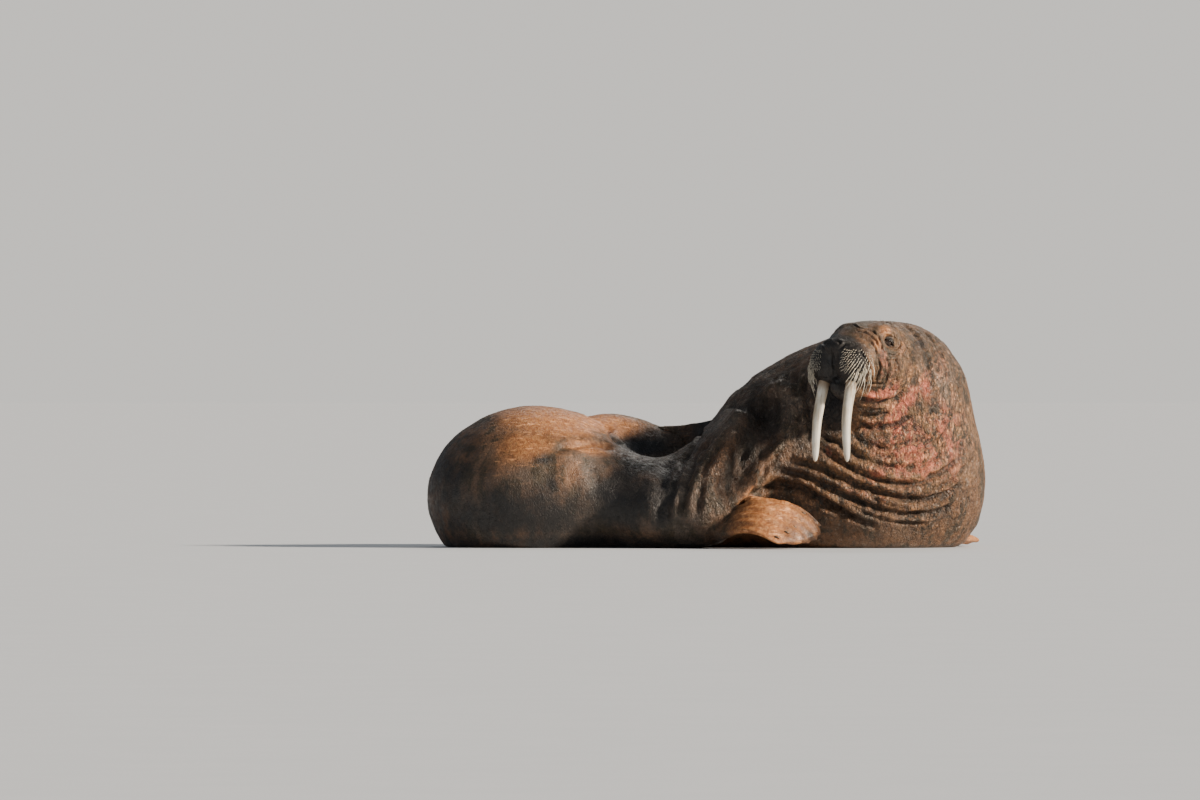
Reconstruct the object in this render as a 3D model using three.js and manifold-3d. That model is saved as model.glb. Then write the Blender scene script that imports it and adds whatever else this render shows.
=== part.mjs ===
// A walrus bull, hauled out and resting, as a still life-size model.
// Millimetres, +Z up. The floor is the plane z = 0, +X runs along the body from the
// bend of the rump to the chest, and +Y points away from the side that the face is on.

import * as THREE from 'three';
import { mergeVertices } from 'three/addons/utils/BufferGeometryUtils.js';
import Module from 'manifold-3d';

const wasm = await Module();
wasm.setup();

// Driving dimensions
const GAP = 0.3;
const CHEST = { width: 1120, depth: 790, height: 730 };
const NECK = { width: 690, depth: 660, top: 978 };
const RUMP = { length: 940, depth: 920, height: 611 };
const WAIST_HEIGHT = 362;
const HIPS = { length: 680, depth: 520, height: 574 };
const HEAD = { yaw: 40, pitchUp: 8, nose: [529, -470, 873], back: 345, low: -238, right: 182, left: 212 };
const EYE = { side: 120, back: 224, up: 38, radius: 20, slitLength: 44, slitTilt: 30, faceTurn: 32 };
const TUSK = {
  spread: 74, back: 62, up: -150, bow: 20, tipSpread: 88, tipBack: 62, tipUp: -498, radius: 28,
};
const PAD = { side: 68, back: 76, up: -72, half: [86, 74, 92] };
const ANKLE = { x: -128, z: 408, apart: 118, radius: 70 };
const TAIL = { from: [-270, 568, 436], to: [-14, 571, 456], rootRadius: 24, tipRadius: 13 };
const FAR_ARM_Y = 568;
const FORE_FLIPPER = { length: 440, rootHalf: 96, tipHalf: 146, thickness: 92 };
const HIND_FLIPPER = { length: 462, rootHalf: 110, tipHalf: 182, thickness: 60 };
const DIGITS = 5;
const SCALLOP = 0.02;
const CLAW_LENGTH = 30;
const WHISKER = { rows: 7, columns: 8, longest: 112, shortest: 14, width: 4.4 };

// Colours, as seen in warm low sun
const COLOURS = {
  hide: 0x6b4a38,
  neck: 0x7d5546,
  rump: 0x8a5a36,
  muzzle: 0x2c2622,
  flipper: 0x94552f,
  darkFlipper: 0x241c19,
  ivory: 0xe9e2d2,
  claw: 0x4a3a2c,
  eye: 0x140e0b,
};

const radians = THREE.MathUtils.degToRad;
const vector = (x, y, z) => new THREE.Vector3(x, y, z);

// Distance fields: each is a function of a point that is negative inside the flesh
function ellipsoid(center, radii) {
  const [cx, cy, cz] = center;
  const [rx, ry, rz] = radii;
  return (x, y, z) => {
    const px = (x - cx) / rx;
    const py = (y - cy) / ry;
    const pz = (z - cz) / rz;
    const scaled = Math.hypot(px, py, pz);
    if (scaled < 1e-6) return -Math.min(rx, ry, rz);
    return scaled * (scaled - 1) / Math.hypot(px / rx, py / ry, pz / rz);
  };
}

// A limb or a stretch of trunk between two spheres, flattened across by the given scale
function limb(start, startRadius, end, endRadius, flat = [1, 1, 1]) {
  const [fx, fy, fz] = flat;
  const a = [start[0] / fx, start[1] / fy, start[2] / fz];
  const b = [end[0] / fx, end[1] / fy, end[2] / fz];
  const d = [b[0] - a[0], b[1] - a[1], b[2] - a[2]];
  const lengthSquared = d[0] ** 2 + d[1] ** 2 + d[2] ** 2;
  return (x, y, z) => {
    const px = x / fx - a[0];
    const py = y / fy - a[1];
    const pz = z / fz - a[2];
    const along = (px * d[0] + py * d[1] + pz * d[2]) / lengthSquared;
    const t = Math.min(1, Math.max(0, along));
    const away = Math.hypot(px - d[0] * t, py - d[1] * t, pz - d[2] * t);
    return away - (startRadius + (endRadius - startRadius) * t);
  };
}

function softMin(a, b, width) {
  const near = Math.max(width - Math.abs(a - b), 0) / width;
  return Math.min(a, b) - near * near * width / 4;
}

function softJoin(width, fields) {
  return (x, y, z) => fields.reduce((sum, field) => softMin(sum, field(x, y, z), width), 1e6);
}

function mirrored(field) {
  return (x, y, z) => field(Math.abs(x), y, z);
}

// The head's own frame: +X to its left, +Y backwards from the nose, +Z up
const headFrame = (() => {
  const yaw = radians(HEAD.yaw);
  const pitch = radians(HEAD.pitchUp);
  const left = vector(Math.cos(yaw), -Math.sin(yaw), 0);
  const level = vector(Math.sin(yaw), Math.cos(yaw), 0);
  const back = level.clone().multiplyScalar(Math.cos(pitch)).add(vector(0, 0, -Math.sin(pitch)));
  const up = level.clone().multiplyScalar(Math.sin(pitch)).add(vector(0, 0, Math.cos(pitch)));
  return new THREE.Matrix4().makeBasis(left, back, up).setPosition(...HEAD.nose);
})();
const headInverse = headFrame.clone().invert();

const headField = (() => {
  const skull = softJoin(60, [
    ellipsoid([0, 300, 22], [158, 200, 118]),
    ellipsoid([0, 162, 0], [116, 128, 94]),
    mirrored(ellipsoid([92, 250, -55], [86, 150, 120])),
    ellipsoid([0, 262, -150], [120, 165, 112]),
  ]);
  const brow = mirrored(ellipsoid([92, 212, 84], [40, 46, 30]));
  const nose = ellipsoid([0, 60, -12], [86, 66, 46]);
  const pads = mirrored(ellipsoid([PAD.side, PAD.back, PAD.up], PAD.half));
  const chin = ellipsoid([0, 118, -172], [44, 92, 56]);
  const throat = ellipsoid([0, 210, -176], [92, 110, 62]);
  const jaw = softJoin(30, [chin, throat]);
  const socket = mirrored(ellipsoid([EYE.side + 26, EYE.back - 8, EYE.up - 2], [26, 46, 36]));
  return (x, y, z) => {
    let d = softMin(skull(x, y, z), brow(x, y, z), 36);
    d = softMin(d, nose(x, y, z), 34);
    d = -softMin(-d, socket(x, y, z), 20);
    d = softMin(d, pads(x, y, z), 30);
    return softMin(d, jaw(x, y, z), 16);
  };
})();

const trunkField = (() => {
  const chestMiddle = CHEST.height - 430;
  const forebody = softJoin(150, [
    ellipsoid([642, 60, chestMiddle], [CHEST.width / 2, CHEST.depth / 2, 430]),
    ellipsoid([780, 22, NECK.top - 345], [NECK.width / 2, NECK.depth / 2, 345]),
    limb([560, 125, 532], 326, [70, 75, 232], 262),
    limb([424, 130, 552], 240, [296, 125, 520], 216),
  ]);
  const rightArm = limb([150, -130, 420], 165, [0, -262, 150], 150);
  const leftArm = limb([960, 60, 420], 160, [1010, 90, 150], 150);
  const waist = softJoin(110, [
    ellipsoid([-190, 20, WAIST_HEIGHT - 205], [270, 370, 200]),
    limb([-600, -10, 270], 185, [-250, 5, 178], 178, [1, 1.15, 1]),
  ]);
  const rump = ellipsoid([-738, 190, 216], [RUMP.length / 2, RUMP.depth / 2, RUMP.height - 216]);
  const ankle = (side) => limb(
    [-300, FAR_ARM_Y + side * 34, 318], 128,
    [ANKLE.x, FAR_ARM_Y + side * ANKLE.apart / 2, ANKLE.z], ANKLE.radius, [1, 0.8, 1.35],
  );
  const hips = softJoin(80, [
    ellipsoid([-425, 520, 255], [HIPS.length / 2, HIPS.depth / 2, HIPS.height - 255]),
    softJoin(24, [ankle(-1), ankle(1)]),
  ]);
  return (x, y, z) => {
    let d = softMin(forebody(x, y, z), rightArm(x, y, z), 70);
    d = softMin(d, leftArm(x, y, z), 90);
    d = softMin(d, waist(x, y, z), 80);
    d = softMin(d, rump(x, y, z), 90);
    return softMin(d, hips(x, y, z), 70);
  };
})();

const point = vector(0, 0, 0);

function fleshField(x, y, z) {
  point.set(x, y, z).applyMatrix4(headInverse);
  return softMin(trunkField(x, y, z), headField(point.x, point.y, point.z), 46);
}

// Closed skin of a field inside a block of cells, one vertex to each cell that it crosses.
// A corner pattern that would pinch the skin to a line or a point is filled first.
function skinOf(field, low, high, cell) {
  const count = low.map((value, axis) => Math.ceil((high[axis] - value) / cell) + 1);
  const [nx, ny, nz] = count;
  const step = [1, nx, nx * ny];
  const values = new Float64Array(nx * ny * nz);
  for (let k = 0; k < nz; k++) {
    for (let j = 0; j < ny; j++) {
      for (let i = 0; i < nx; i++) {
        const edge = Math.min(i, j, k) < 2 || i === nx - 1 || j === ny - 1 || k === nz - 1;
        const value = field(low[0] + i * cell, low[1] + j * cell, low[2] + k * cell);
        values[i + j * step[1] + k * step[2]] = edge ? Math.max(value, cell / 2) : value;
      }
    }
  }
  fillPinches(values, count, step);

  const cellVertex = new Map();
  const positions = [];
  const corner = [];
  for (let c = 0; c < 8; c++) corner.push([c & 1, (c >> 1) & 1, (c >> 2) & 1]);
  for (let k = 0; k < nz - 1; k++) {
    for (let j = 0; j < ny - 1; j++) {
      for (let i = 0; i < nx - 1; i++) {
        const at = i + j * step[1] + k * step[2];
        const sum = [0, 0, 0];
        let crossings = 0;
        for (let c = 0; c < 8; c++) {
          for (let axis = 0; axis < 3; axis++) {
            if (corner[c][axis]) continue;
            const from = at + corner[c][0] + corner[c][1] * step[1] + corner[c][2] * step[2];
            const a = values[from];
            const b = values[from + step[axis]];
            if (a < 0 === b < 0) continue;
            const place = [...corner[c]];
            place[axis] += a / (a - b);
            for (let m = 0; m < 3; m++) sum[m] += place[m];
            crossings += 1;
          }
        }
        if (!crossings) continue;
        cellVertex.set(at, positions.length / 3);
        positions.push(
          low[0] + (i + sum[0] / crossings) * cell,
          low[1] + (j + sum[1] / crossings) * cell,
          low[2] + (k + sum[2] / crossings) * cell,
        );
      }
    }
  }

  const triangles = [];
  for (let k = 1; k < nz - 1; k++) {
    for (let j = 1; j < ny - 1; j++) {
      for (let i = 1; i < nx - 1; i++) {
        const at = i + j * step[1] + k * step[2];
        for (let axis = 0; axis < 3; axis++) {
          const a = values[at];
          const b = values[at + step[axis]];
          if (a < 0 === b < 0) continue;
          const u = step[(axis + 1) % 3];
          const v = step[(axis + 2) % 3];
          const ring = [at - u - v, at - v, at, at - u].map((key) => cellVertex.get(key));
          if (a > 0) ring.reverse();
          addQuad(triangles, positions, ring);
        }
      }
    }
  }
  return { positions, triangles };
}

// Four corners as two triangles, split along the shorter diagonal
function addQuad(triangles, positions, [a, b, c, d]) {
  const apart = (m, n) => Math.hypot(
    positions[m * 3] - positions[n * 3],
    positions[m * 3 + 1] - positions[n * 3 + 1],
    positions[m * 3 + 2] - positions[n * 3 + 2],
  );
  if (apart(a, c) < apart(b, d)) triangles.push(a, b, c, a, c, d);
  else triangles.push(a, b, d, b, c, d);
}

function fillPinches(values, [nx, ny, nz], step) {
  const inside = (at) => values[at] < 0;
  const fill = (at) => { values[at] = -0.5; };
  let changed = true;
  for (let pass = 0; changed && pass < 20; pass++) {
    changed = false;
    for (let k = 1; k < nz - 2; k++) {
      for (let j = 1; j < ny - 2; j++) {
        for (let i = 1; i < nx - 2; i++) {
          const at = i + j * step[1] + k * step[2];
          for (let axis = 0; axis < 3; axis++) {
            const u = step[(axis + 1) % 3];
            const v = step[(axis + 2) % 3];
            const square = [at, at + u, at + u + v, at + v];
            const mask = square.map(inside);
            if (mask[0] !== mask[2] || mask[1] !== mask[3] || mask[0] === mask[1]) continue;
            fill(square[mask[0] ? 1 : 0]);
            changed = true;
          }
          for (const [a, b] of oppositeCorners(at, step)) {
            if (inside(a) && inside(b) && cubeCount(at, step, inside) === 2) {
              fill(at + step[0]);
              fill(at + step[1]);
              fill(at + step[2]);
              changed = true;
            }
          }
        }
      }
    }
  }
}

function oppositeCorners(at, [u, v, w]) {
  return [[at, at + u + v + w], [at + u, at + v + w], [at + v, at + u + w], [at + w, at + u + v]];
}

function cubeCount(at, [u, v, w], inside) {
  const corners = [0, u, v, w, u + v, u + w, v + w, u + v + w];
  return corners.filter((offset) => inside(at + offset)).length;
}

// Solids
function solidOf({ positions, triangles }) {
  const mesh = new wasm.Mesh({
    numProp: 3,
    vertProperties: new Float32Array(positions),
    triVerts: new Uint32Array(triangles),
  });
  return new wasm.Manifold(mesh);
}

function solidOfGeometry(geometry, matrix = new THREE.Matrix4()) {
  const bare = geometry.clone().applyMatrix4(matrix);
  bare.deleteAttribute('normal');
  bare.deleteAttribute('uv');
  const merged = mergeVertices(bare, 1e-4);
  return solidOf({ positions: merged.attributes.position.array, triangles: merged.index.array });
}

function largest(solid) {
  return solid.decompose().reduce((best, piece) => (piece.volume() > best.volume() ? piece : best));
}

// A block between two corners of a frame, for parting the flesh with a flat cut
function block(low, high, frame = new THREE.Matrix4()) {
  const size = high.map((value, axis) => value - low[axis]);
  const middle = high.map((value, axis) => (value + low[axis]) / 2);
  const place = frame.clone().multiply(new THREE.Matrix4().makeTranslation(...middle));
  return solidOfGeometry(new THREE.BoxGeometry(...size), place);
}

function grownBlock(low, high, frame) {
  return block(low.map((value) => value - GAP), high.map((value) => value + GAP), frame);
}

// The same closed mesh pushed out along its vertex normals
function grown({ positions, triangles }, distance) {
  const geometry = new THREE.BufferGeometry();
  geometry.setAttribute('position', new THREE.Float32BufferAttribute(positions, 3));
  geometry.setIndex([...triangles]);
  geometry.computeVertexNormals();
  const normal = geometry.attributes.normal.array;
  const pushed = Array.from(positions, (value, index) => value + normal[index] * distance);
  return { positions: pushed, triangles };
}

// Rings of points joined into a closed tube, with a cap of triangles at each end
function loft(rings) {
  const sides = rings[0].length;
  const positions = rings.flat().flatMap((p) => [p.x, p.y, p.z]);
  const triangles = [];
  for (let r = 0; r + 1 < rings.length; r++) {
    for (let s = 0; s < sides; s++) {
      const next = (s + 1) % sides;
      const a = r * sides + s;
      const b = r * sides + next;
      const c = a + sides;
      const d = b + sides;
      triangles.push(a, b, d, a, d, c);
    }
  }
  capRing(triangles, positions, rings[0], 0, true);
  capRing(triangles, positions, rings.at(-1), (rings.length - 1) * sides, false);
  return { positions, triangles };
}

function capRing(triangles, positions, ring, first, atStart) {
  const sides = ring.length;
  const middle = ring.reduce((sum, p) => sum.add(p), vector(0, 0, 0)).divideScalar(sides);
  const hub = positions.length / 3;
  positions.push(middle.x, middle.y, middle.z);
  for (let s = 0; s < sides; s++) {
    const a = first + s;
    const b = first + (s + 1) % sides;
    if (atStart) triangles.push(a, hub, b);
    else triangles.push(a, b, hub);
  }
}

// A tapering round horn along a curve. The radius is a function of the way along it.
function horn(curve, radiusAt, steps, sides) {
  const frames = curve.computeFrenetFrames(steps, false);
  const rings = [];
  for (let i = 0; i <= steps; i++) {
    const middle = curve.getPointAt(i / steps);
    const radius = radiusAt(i / steps);
    const ring = [];
    for (let s = 0; s < sides; s++) {
      const turn = -2 * Math.PI * s / sides;
      ring.push(middle.clone()
        .addScaledVector(frames.normals[i], Math.cos(turn) * radius)
        .addScaledVector(frames.binormals[i], -Math.sin(turn) * radius));
    }
    rings.push(ring);
  }
  return loft(rings);
}

const group = new THREE.Group();

function addNode(name, solid, colour, roughness = 0.85) {
  const { vertProperties, triVerts } = largest(solid).getMesh();
  const geometry = new THREE.BufferGeometry();
  geometry.setAttribute('position', new THREE.BufferAttribute(new Float32Array(vertProperties), 3));
  geometry.setIndex(new THREE.BufferAttribute(new Uint32Array(triVerts), 1));
  geometry.computeVertexNormals();
  const material = new THREE.MeshStandardMaterial({ color: colour, roughness, metalness: 0 });
  const mesh = new THREE.Mesh(geometry, material);
  mesh.name = name;
  group.add(mesh);
}

// Where the body is parted
const WIDE = 2000;
const HEAD_BLOCK = [[-HEAD.right, -WIDE, HEAD.low], [HEAD.left, HEAD.back, WIDE], headFrame];
const NECK_TILT = 16;
const neckFrame = new THREE.Matrix4().makeRotationY(radians(NECK_TILT)).setPosition(640, 0, 545);
const NECK_BLOCK = [[-WIDE, -WIDE, 0], [WIDE, WIDE, WIDE], neckFrame];
const FRONT_X = -78;
const MIDDLE_X = -560;
const FAR_Y = 255;
const HEELS_Y = 420;

// The head's skin is meshed in the head's own frame, so that both its sides are alike
function headSkin(cell) {
  const world = vector(0, 0, 0);
  const low = [-cell * 12, -cell * 2, HEAD.low - 22];
  const high = [cell * 12, HEAD.back + 22, 190];
  const field = (x, y, z) => fleshField(...world.set(x, y, z).applyMatrix4(headFrame));
  const skin = skinOf(field, low, high, cell);
  const positions = [];
  for (let i = 0; i < skin.positions.length; i += 3) {
    positions.push(...vector(...skin.positions.slice(i, i + 3)).applyMatrix4(headFrame));
  }
  return { positions, triangles: skin.triangles };
}

// The flesh
const skins = {
  head: headSkin(26),
  neck: skinOf(fleshField, [40, -500, 180], [1330, 560, 1080], 70),
  front: skinOf(fleshField, [-280, -580, -200], [1330, 600, 900], 76),
  middle: skinOf(fleshField, [-740, -580, -180], [140, 420, 700], 68),
  rear: skinOf(fleshField, [-1350, -440, -200], [-380, 930, 750], 76),
  hips: skinOf(fleshField, [-740, 80, -160], [130, 920, 720], 58),
};

const aboveFloor = block([-WIDE, -WIDE, 0], [WIDE, WIDE, WIDE]);

addNode('neck', solidOf(skins.neck)
  .intersect(block(...NECK_BLOCK))
  .subtract(grownBlock(...HEAD_BLOCK)), COLOURS.neck);
addNode('torso_front', solidOf(skins.front)
  .intersect(block([FRONT_X, -WIDE, 0], [WIDE, WIDE, WIDE]))
  .subtract(grownBlock(...NECK_BLOCK))
  .subtract(grownBlock(...HEAD_BLOCK)), COLOURS.neck);
addNode('torso_middle', solidOf(skins.middle)
  .intersect(block([MIDDLE_X + GAP, -WIDE, 0], [FRONT_X - GAP, FAR_Y, WIDE])), COLOURS.hide);
addNode('torso_rear', solidOf(skins.rear)
  .intersect(block([-WIDE, -WIDE, 0], [MIDDLE_X, WIDE, WIDE])), COLOURS.rump);
const heels = block([FRONT_X - 20, HEELS_Y, 0], [WIDE, WIDE, WIDE]);
addNode('hindquarters', solidOf(skins.hips)
  .intersect(block([MIDDLE_X + GAP, FAR_Y + GAP, 0], [FRONT_X - GAP, WIDE, WIDE]).add(heels)), COLOURS.rump);

// Tusks, a little larger when they stand for their own sockets
function tuskSkin(side, extra = 0) {
  const curve = new THREE.CatmullRomCurve3([
    vector(side * (TUSK.spread - 6), TUSK.back + 14, TUSK.up + 62 + extra),
    vector(side * TUSK.spread, TUSK.back, TUSK.up),
    vector(side * (TUSK.spread + 6), TUSK.back - TUSK.bow, (TUSK.up + TUSK.tipUp) / 2),
    vector(side * TUSK.tipSpread, TUSK.tipBack, TUSK.tipUp),
  ]);
  const radiusAt = (t) => extra + TUSK.radius * (1 - 0.46 * t) * Math.sqrt(Math.max(0.02, 1 - t ** 9));
  return horn(curve, radiusAt, 10, 11);
}

function geometryOf({ positions, triangles }) {
  const geometry = new THREE.BufferGeometry();
  geometry.setAttribute('position', new THREE.Float32BufferAttribute(positions, 3));
  geometry.setIndex([...triangles]);
  return geometry;
}

function placed(skin, frame) {
  return solidOfGeometry(geometryOf(skin), frame);
}

// A stretched ball in a frame, turned about the frame's own axes
function ball(center, radii, frame, turn = [0, 0, 0], wide = 20, tall = 14) {
  const place = frame.clone()
    .multiply(new THREE.Matrix4().makeTranslation(...center))
    .multiply(new THREE.Matrix4().makeRotationFromEuler(new THREE.Euler(...turn.map(radians))))
    .multiply(new THREE.Matrix4().makeScale(...radii));
  return solidOfGeometry(new THREE.SphereGeometry(1, wide, tall), place);
}

function padRegion(side, extra = 0) {
  const radii = PAD.half.map((value) => value + 5 + extra);
  const shell = ball([side * PAD.side, PAD.back, PAD.up], radii, headFrame, [0, 0, 0], 16, 11);
  const low = side > 0 ? [GAP / 2 - extra, -WIDE, -WIDE] : [-WIDE, -WIDE, -WIDE];
  const high = side > 0 ? [WIDE, WIDE, WIDE] : [-GAP / 2 + extra, WIDE, WIDE];
  return shell.intersect(block(low, high, headFrame));
}

function eyeball(side, extra = 0) {
  const radius = EYE.radius + extra;
  return ball([side * EYE.side, EYE.back, EYE.up], [radius, radius, radius], headFrame, [90, 0, 0], 14, 9);
}

// Both lids of an eye as one swelling with a narrow slanting slit. The face turns
// inwards towards the nose at the eye, so that the lids look partly forwards.
function buildLids(side, head) {
  const at = [side * (EYE.side + 2), EYE.back, EYE.up];
  const swell = ball(at, [EYE.radius + 7, 36, 27], headFrame, [0, 0, side * EYE.faceTurn], 16, 10);
  const slitAt = [side * (EYE.side + 26), EYE.back - 14, EYE.up - 2];
  const slitTurn = [-EYE.slitTilt, 0, side * EYE.faceTurn];
  const slit = ball(slitAt, [30, EYE.slitLength / 2, 4.5], headFrame, slitTurn, 12, 6);
  return swell.subtract(head).subtract(eyeball(side, GAP)).subtract(slit);
}

function nostril(side) {
  return ball([side * 27, 10, 4], [8, 16, 15], headFrame, [20, side * 34, side * 24], 12, 8);
}

// The ear is only a small pit behind the eye
function earPit(side) {
  return ball([side * 166, 316, 6], [16, 12, 9], headFrame, [0, 0, 0], 10, 6);
}

const sockets = [-1, 1].flatMap((side) => [
  placed(tuskSkin(side, GAP), headFrame), eyeball(side, GAP), nostril(side), earPit(side),
]);
const withoutSockets = (solid) => sockets.reduce((left, socket) => left.subtract(socket), solid);

const headFlesh = solidOf(skins.head).intersect(block(...HEAD_BLOCK));
const JAW_BLOCK = [[-118, -60, HEAD.low + GAP], [118, 186, -116], headFrame];
const jawBlock = block(...JAW_BLOCK);
const padGrown = padRegion(-1, GAP).add(padRegion(1, GAP));
const skullFlesh = headFlesh.subtract(padGrown).subtract(grownBlock(...JAW_BLOCK));
addNode('head', withoutSockets(skullFlesh), COLOURS.hide);
const lipGap = 4;
addNode('lower_jaw', withoutSockets(headFlesh.intersect(jawBlock)
  .subtract(padRegion(-1, lipGap)).subtract(padRegion(1, lipGap))), COLOURS.muzzle);

// A repeatable run of numbers from 0 to 1
function dice(seed) {
  let state = seed;
  return () => {
    state = (state + 0x6d2b79f5) | 0;
    let mixed = Math.imul(state ^ (state >>> 15), 1 | state);
    mixed = (mixed + Math.imul(mixed ^ (mixed >>> 7), 61 | mixed)) ^ mixed;
    return ((mixed ^ (mixed >>> 14)) >>> 0) / 4294967296;
  };
}

// A three-sided spine along a line of points, sharp at its last point
function spine(points, width) {
  const along = points.at(-1).clone().sub(points[0]).normalize();
  const across = vector(along.y, -along.x, 0.3).cross(along).normalize();
  const third = along.clone().cross(across);
  const positions = [];
  for (const [index, place] of points.slice(0, -1).entries()) {
    const radius = width / 2 * (1 - 0.35 * index);
    for (let s = 0; s < 3; s++) {
      const turn = 2 * Math.PI * s / 3;
      positions.push(...place.clone()
        .addScaledVector(across, Math.cos(turn) * radius)
        .addScaledVector(third, Math.sin(turn) * radius));
    }
  }
  positions.push(...points.at(-1));
  const triangles = [0, 2, 1];
  const last = points.length - 2;
  for (let r = 0; r < last; r++) {
    for (let s = 0; s < 3; s++) {
      const next = (s + 1) % 3;
      triangles.push(r * 3 + s, r * 3 + next, r * 3 + 3 + next, r * 3 + s, r * 3 + 3 + next, r * 3 + 3 + s);
    }
  }
  for (let s = 0; s < 3; s++) triangles.push(last * 3 + s, last * 3 + (s + 1) % 3, (last + 1) * 3);
  return { positions, triangles };
}

// The skin of the muzzle, reached from inside a whisker pad in a given direction
function padSurface(side, direction) {
  const start = vector(side * PAD.side, PAD.back, PAD.up);
  let near = 30;
  let far = 150;
  for (let n = 0; n < 24; n++) {
    const middle = (near + far) / 2;
    const place = start.clone().addScaledVector(direction, middle).applyMatrix4(headFrame);
    if (fleshField(place.x, place.y, place.z) < 0) near = middle;
    else far = middle;
  }
  return start.addScaledVector(direction, near);
}

// Whiskers in rows round the pad: short on top, long and hanging at its lower outer edge
function whiskers(side) {
  const draw = dice(41 + side);
  const spines = [];
  for (let row = 0; row < WHISKER.rows; row++) {
    for (let column = 0; column < WHISKER.columns; column++) {
      const down = row / (WHISKER.rows - 1);
      const out = (column + 0.5 * (row % 2)) / WHISKER.columns;
      const round = radians(2 + 108 * out + 3 * (draw() - 0.5));
      const rise = radians(26 - 76 * down + 14 * down * out + 3 * (draw() - 0.5));
      const direction = vector(
        side * Math.sin(round) * Math.cos(rise), -Math.cos(round) * Math.cos(rise), Math.sin(rise),
      );
      const root = padSurface(side, direction);
      const nearTusk = Math.hypot(root.x - side * TUSK.spread, root.y - TUSK.back) < TUSK.radius + 9;
      if (root.z < PAD.up - 40 && (nearTusk || out < 0.35)) continue;
      const grow = down ** 1.3 * (0.3 + 0.7 * out);
      const length = THREE.MathUtils.lerp(WHISKER.shortest, WHISKER.longest, grow) * (0.88 + 0.24 * draw());
      const lean = direction.clone().multiplyScalar(0.75 - 0.3 * down)
        .add(vector(side * -0.05, -0.16, -0.3 - 0.5 * down)).normalize();
      const hang = lean.clone().add(vector(side * -0.12, -0.05, -0.7)).normalize();
      const bottom = root.clone().addScaledVector(direction, -7);
      const middle = root.clone().addScaledVector(lean, length * 0.5);
      const tip = middle.clone().addScaledVector(hang, length * 0.5);
      spines.push(placed(spine([bottom, middle, tip], WHISKER.width), headFrame));
    }
  }
  return spines;
}

const headGrown = solidOf(grown(skins.head, 0.4));
const tusksGrown = placed(tuskSkin(-1, GAP), headFrame).add(placed(tuskSkin(1, GAP), headFrame));

for (const side of [-1, 1]) {
  const name = side > 0 ? 'left' : 'right';
  const otherPad = headFlesh.intersect(padRegion(-side, GAP));
  addNode(`tusk_${name}`, placed(tuskSkin(side), headFrame), COLOURS.ivory, 0.4);
  addNode(`eye_${name}`, eyeball(side), COLOURS.eye, 0.1);
  addNode(`eyelids_${name}`, buildLids(side, headGrown), COLOURS.hide);
  const pad = withoutSockets(headFlesh.intersect(padRegion(side)));
  const around = headGrown.subtract(padRegion(side));
  const bristled = whiskers(side)
    .reduce((sum, bristle) => sum.add(bristle), pad)
    .subtract(around)
    .subtract(tusksGrown)
    .subtract(otherPad);
  addNode(`whisker_pad_${name}`, bristled, COLOURS.muzzle);
}

// Flippers: a fan of rays from the root, thick along each digit and thin between.
// In its own frame a flipper lies in the plane z = 0, points along +Y and has its back up.
function flipperPoint({ length, rootHalf, tipHalf, thickness }, reach, t, turn) {
  const v = Math.cos(turn);
  const half = rootHalf + (tipHalf - rootHalf) * t ** 1.15;
  const deep = thickness * (1 - 0.74 * t ** 0.8) / 2;
  const edge = Math.abs(Math.sin(turn)) ** 0.75;
  const digit = -Math.cos(Math.PI * v * DIGITS);
  const ridge = 1 + 0.22 * digit * Math.min(1, t * 2);
  const scallop = 1 + SCALLOP * digit * t ** 3;
  const y = length * t * (1 + (reach(v) - 1) * t) * scallop;
  return vector(v * half, y, Math.sign(Math.sin(turn)) * deep * edge * ridge);
}

function flipperSkin(size, reach, bend) {
  const across = 12;
  const along = 8;
  const rings = [];
  for (let i = 0; i <= along; i++) {
    const ring = [];
    for (let s = 0; s < 2 * across; s++) {
      ring.push(bend(flipperPoint(size, reach, i / along, -Math.PI * s / across)));
    }
    rings.push(ring);
  }
  return loft(rings);
}

// A claw lies on the back of each digit, its tip clear of the web
function claws(size, reach, bend) {
  const skins = [];
  for (let digit = 0; digit < DIGITS; digit++) {
    const turn = Math.acos((2 * digit + 1) / DIGITS - 1);
    const root = bend(flipperPoint(size, reach, 0.8, turn)).add(vector(0, 0, -5));
    const tip = bend(flipperPoint(size, reach, 0.88, turn)).add(vector(0, 0, 7));
    const along = tip.clone().sub(root).normalize();
    const middle = root.clone().addScaledVector(along, CLAW_LENGTH * 0.5).add(vector(0, 0, 3));
    skins.push(spine([root, middle, root.clone().addScaledVector(along, CLAW_LENGTH)], 11));
  }
  return skins;
}

const foreReach = (v) => 1 - 0.1 * (v + 1) - 0.1 * v * v;
const hindReach = (v) => 0.86 + 0.2 * v * v;

function frameFrom(origin, along, across) {
  const y = vector(...along).normalize();
  const z = vector(...across).cross(y).normalize();
  const x = y.clone().cross(z);
  return new THREE.Matrix4().makeBasis(x, y, z).setPosition(...origin);
}

// Bends a flipper up in its middle and down at its tips
const bowed = (rise, fall) => (p) => {
  const t = p.y / FORE_FLIPPER.length;
  return vector(p.x, p.y, p.z + rise * Math.sin(Math.PI * Math.min(1, t)) - fall * t * t);
};

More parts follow.
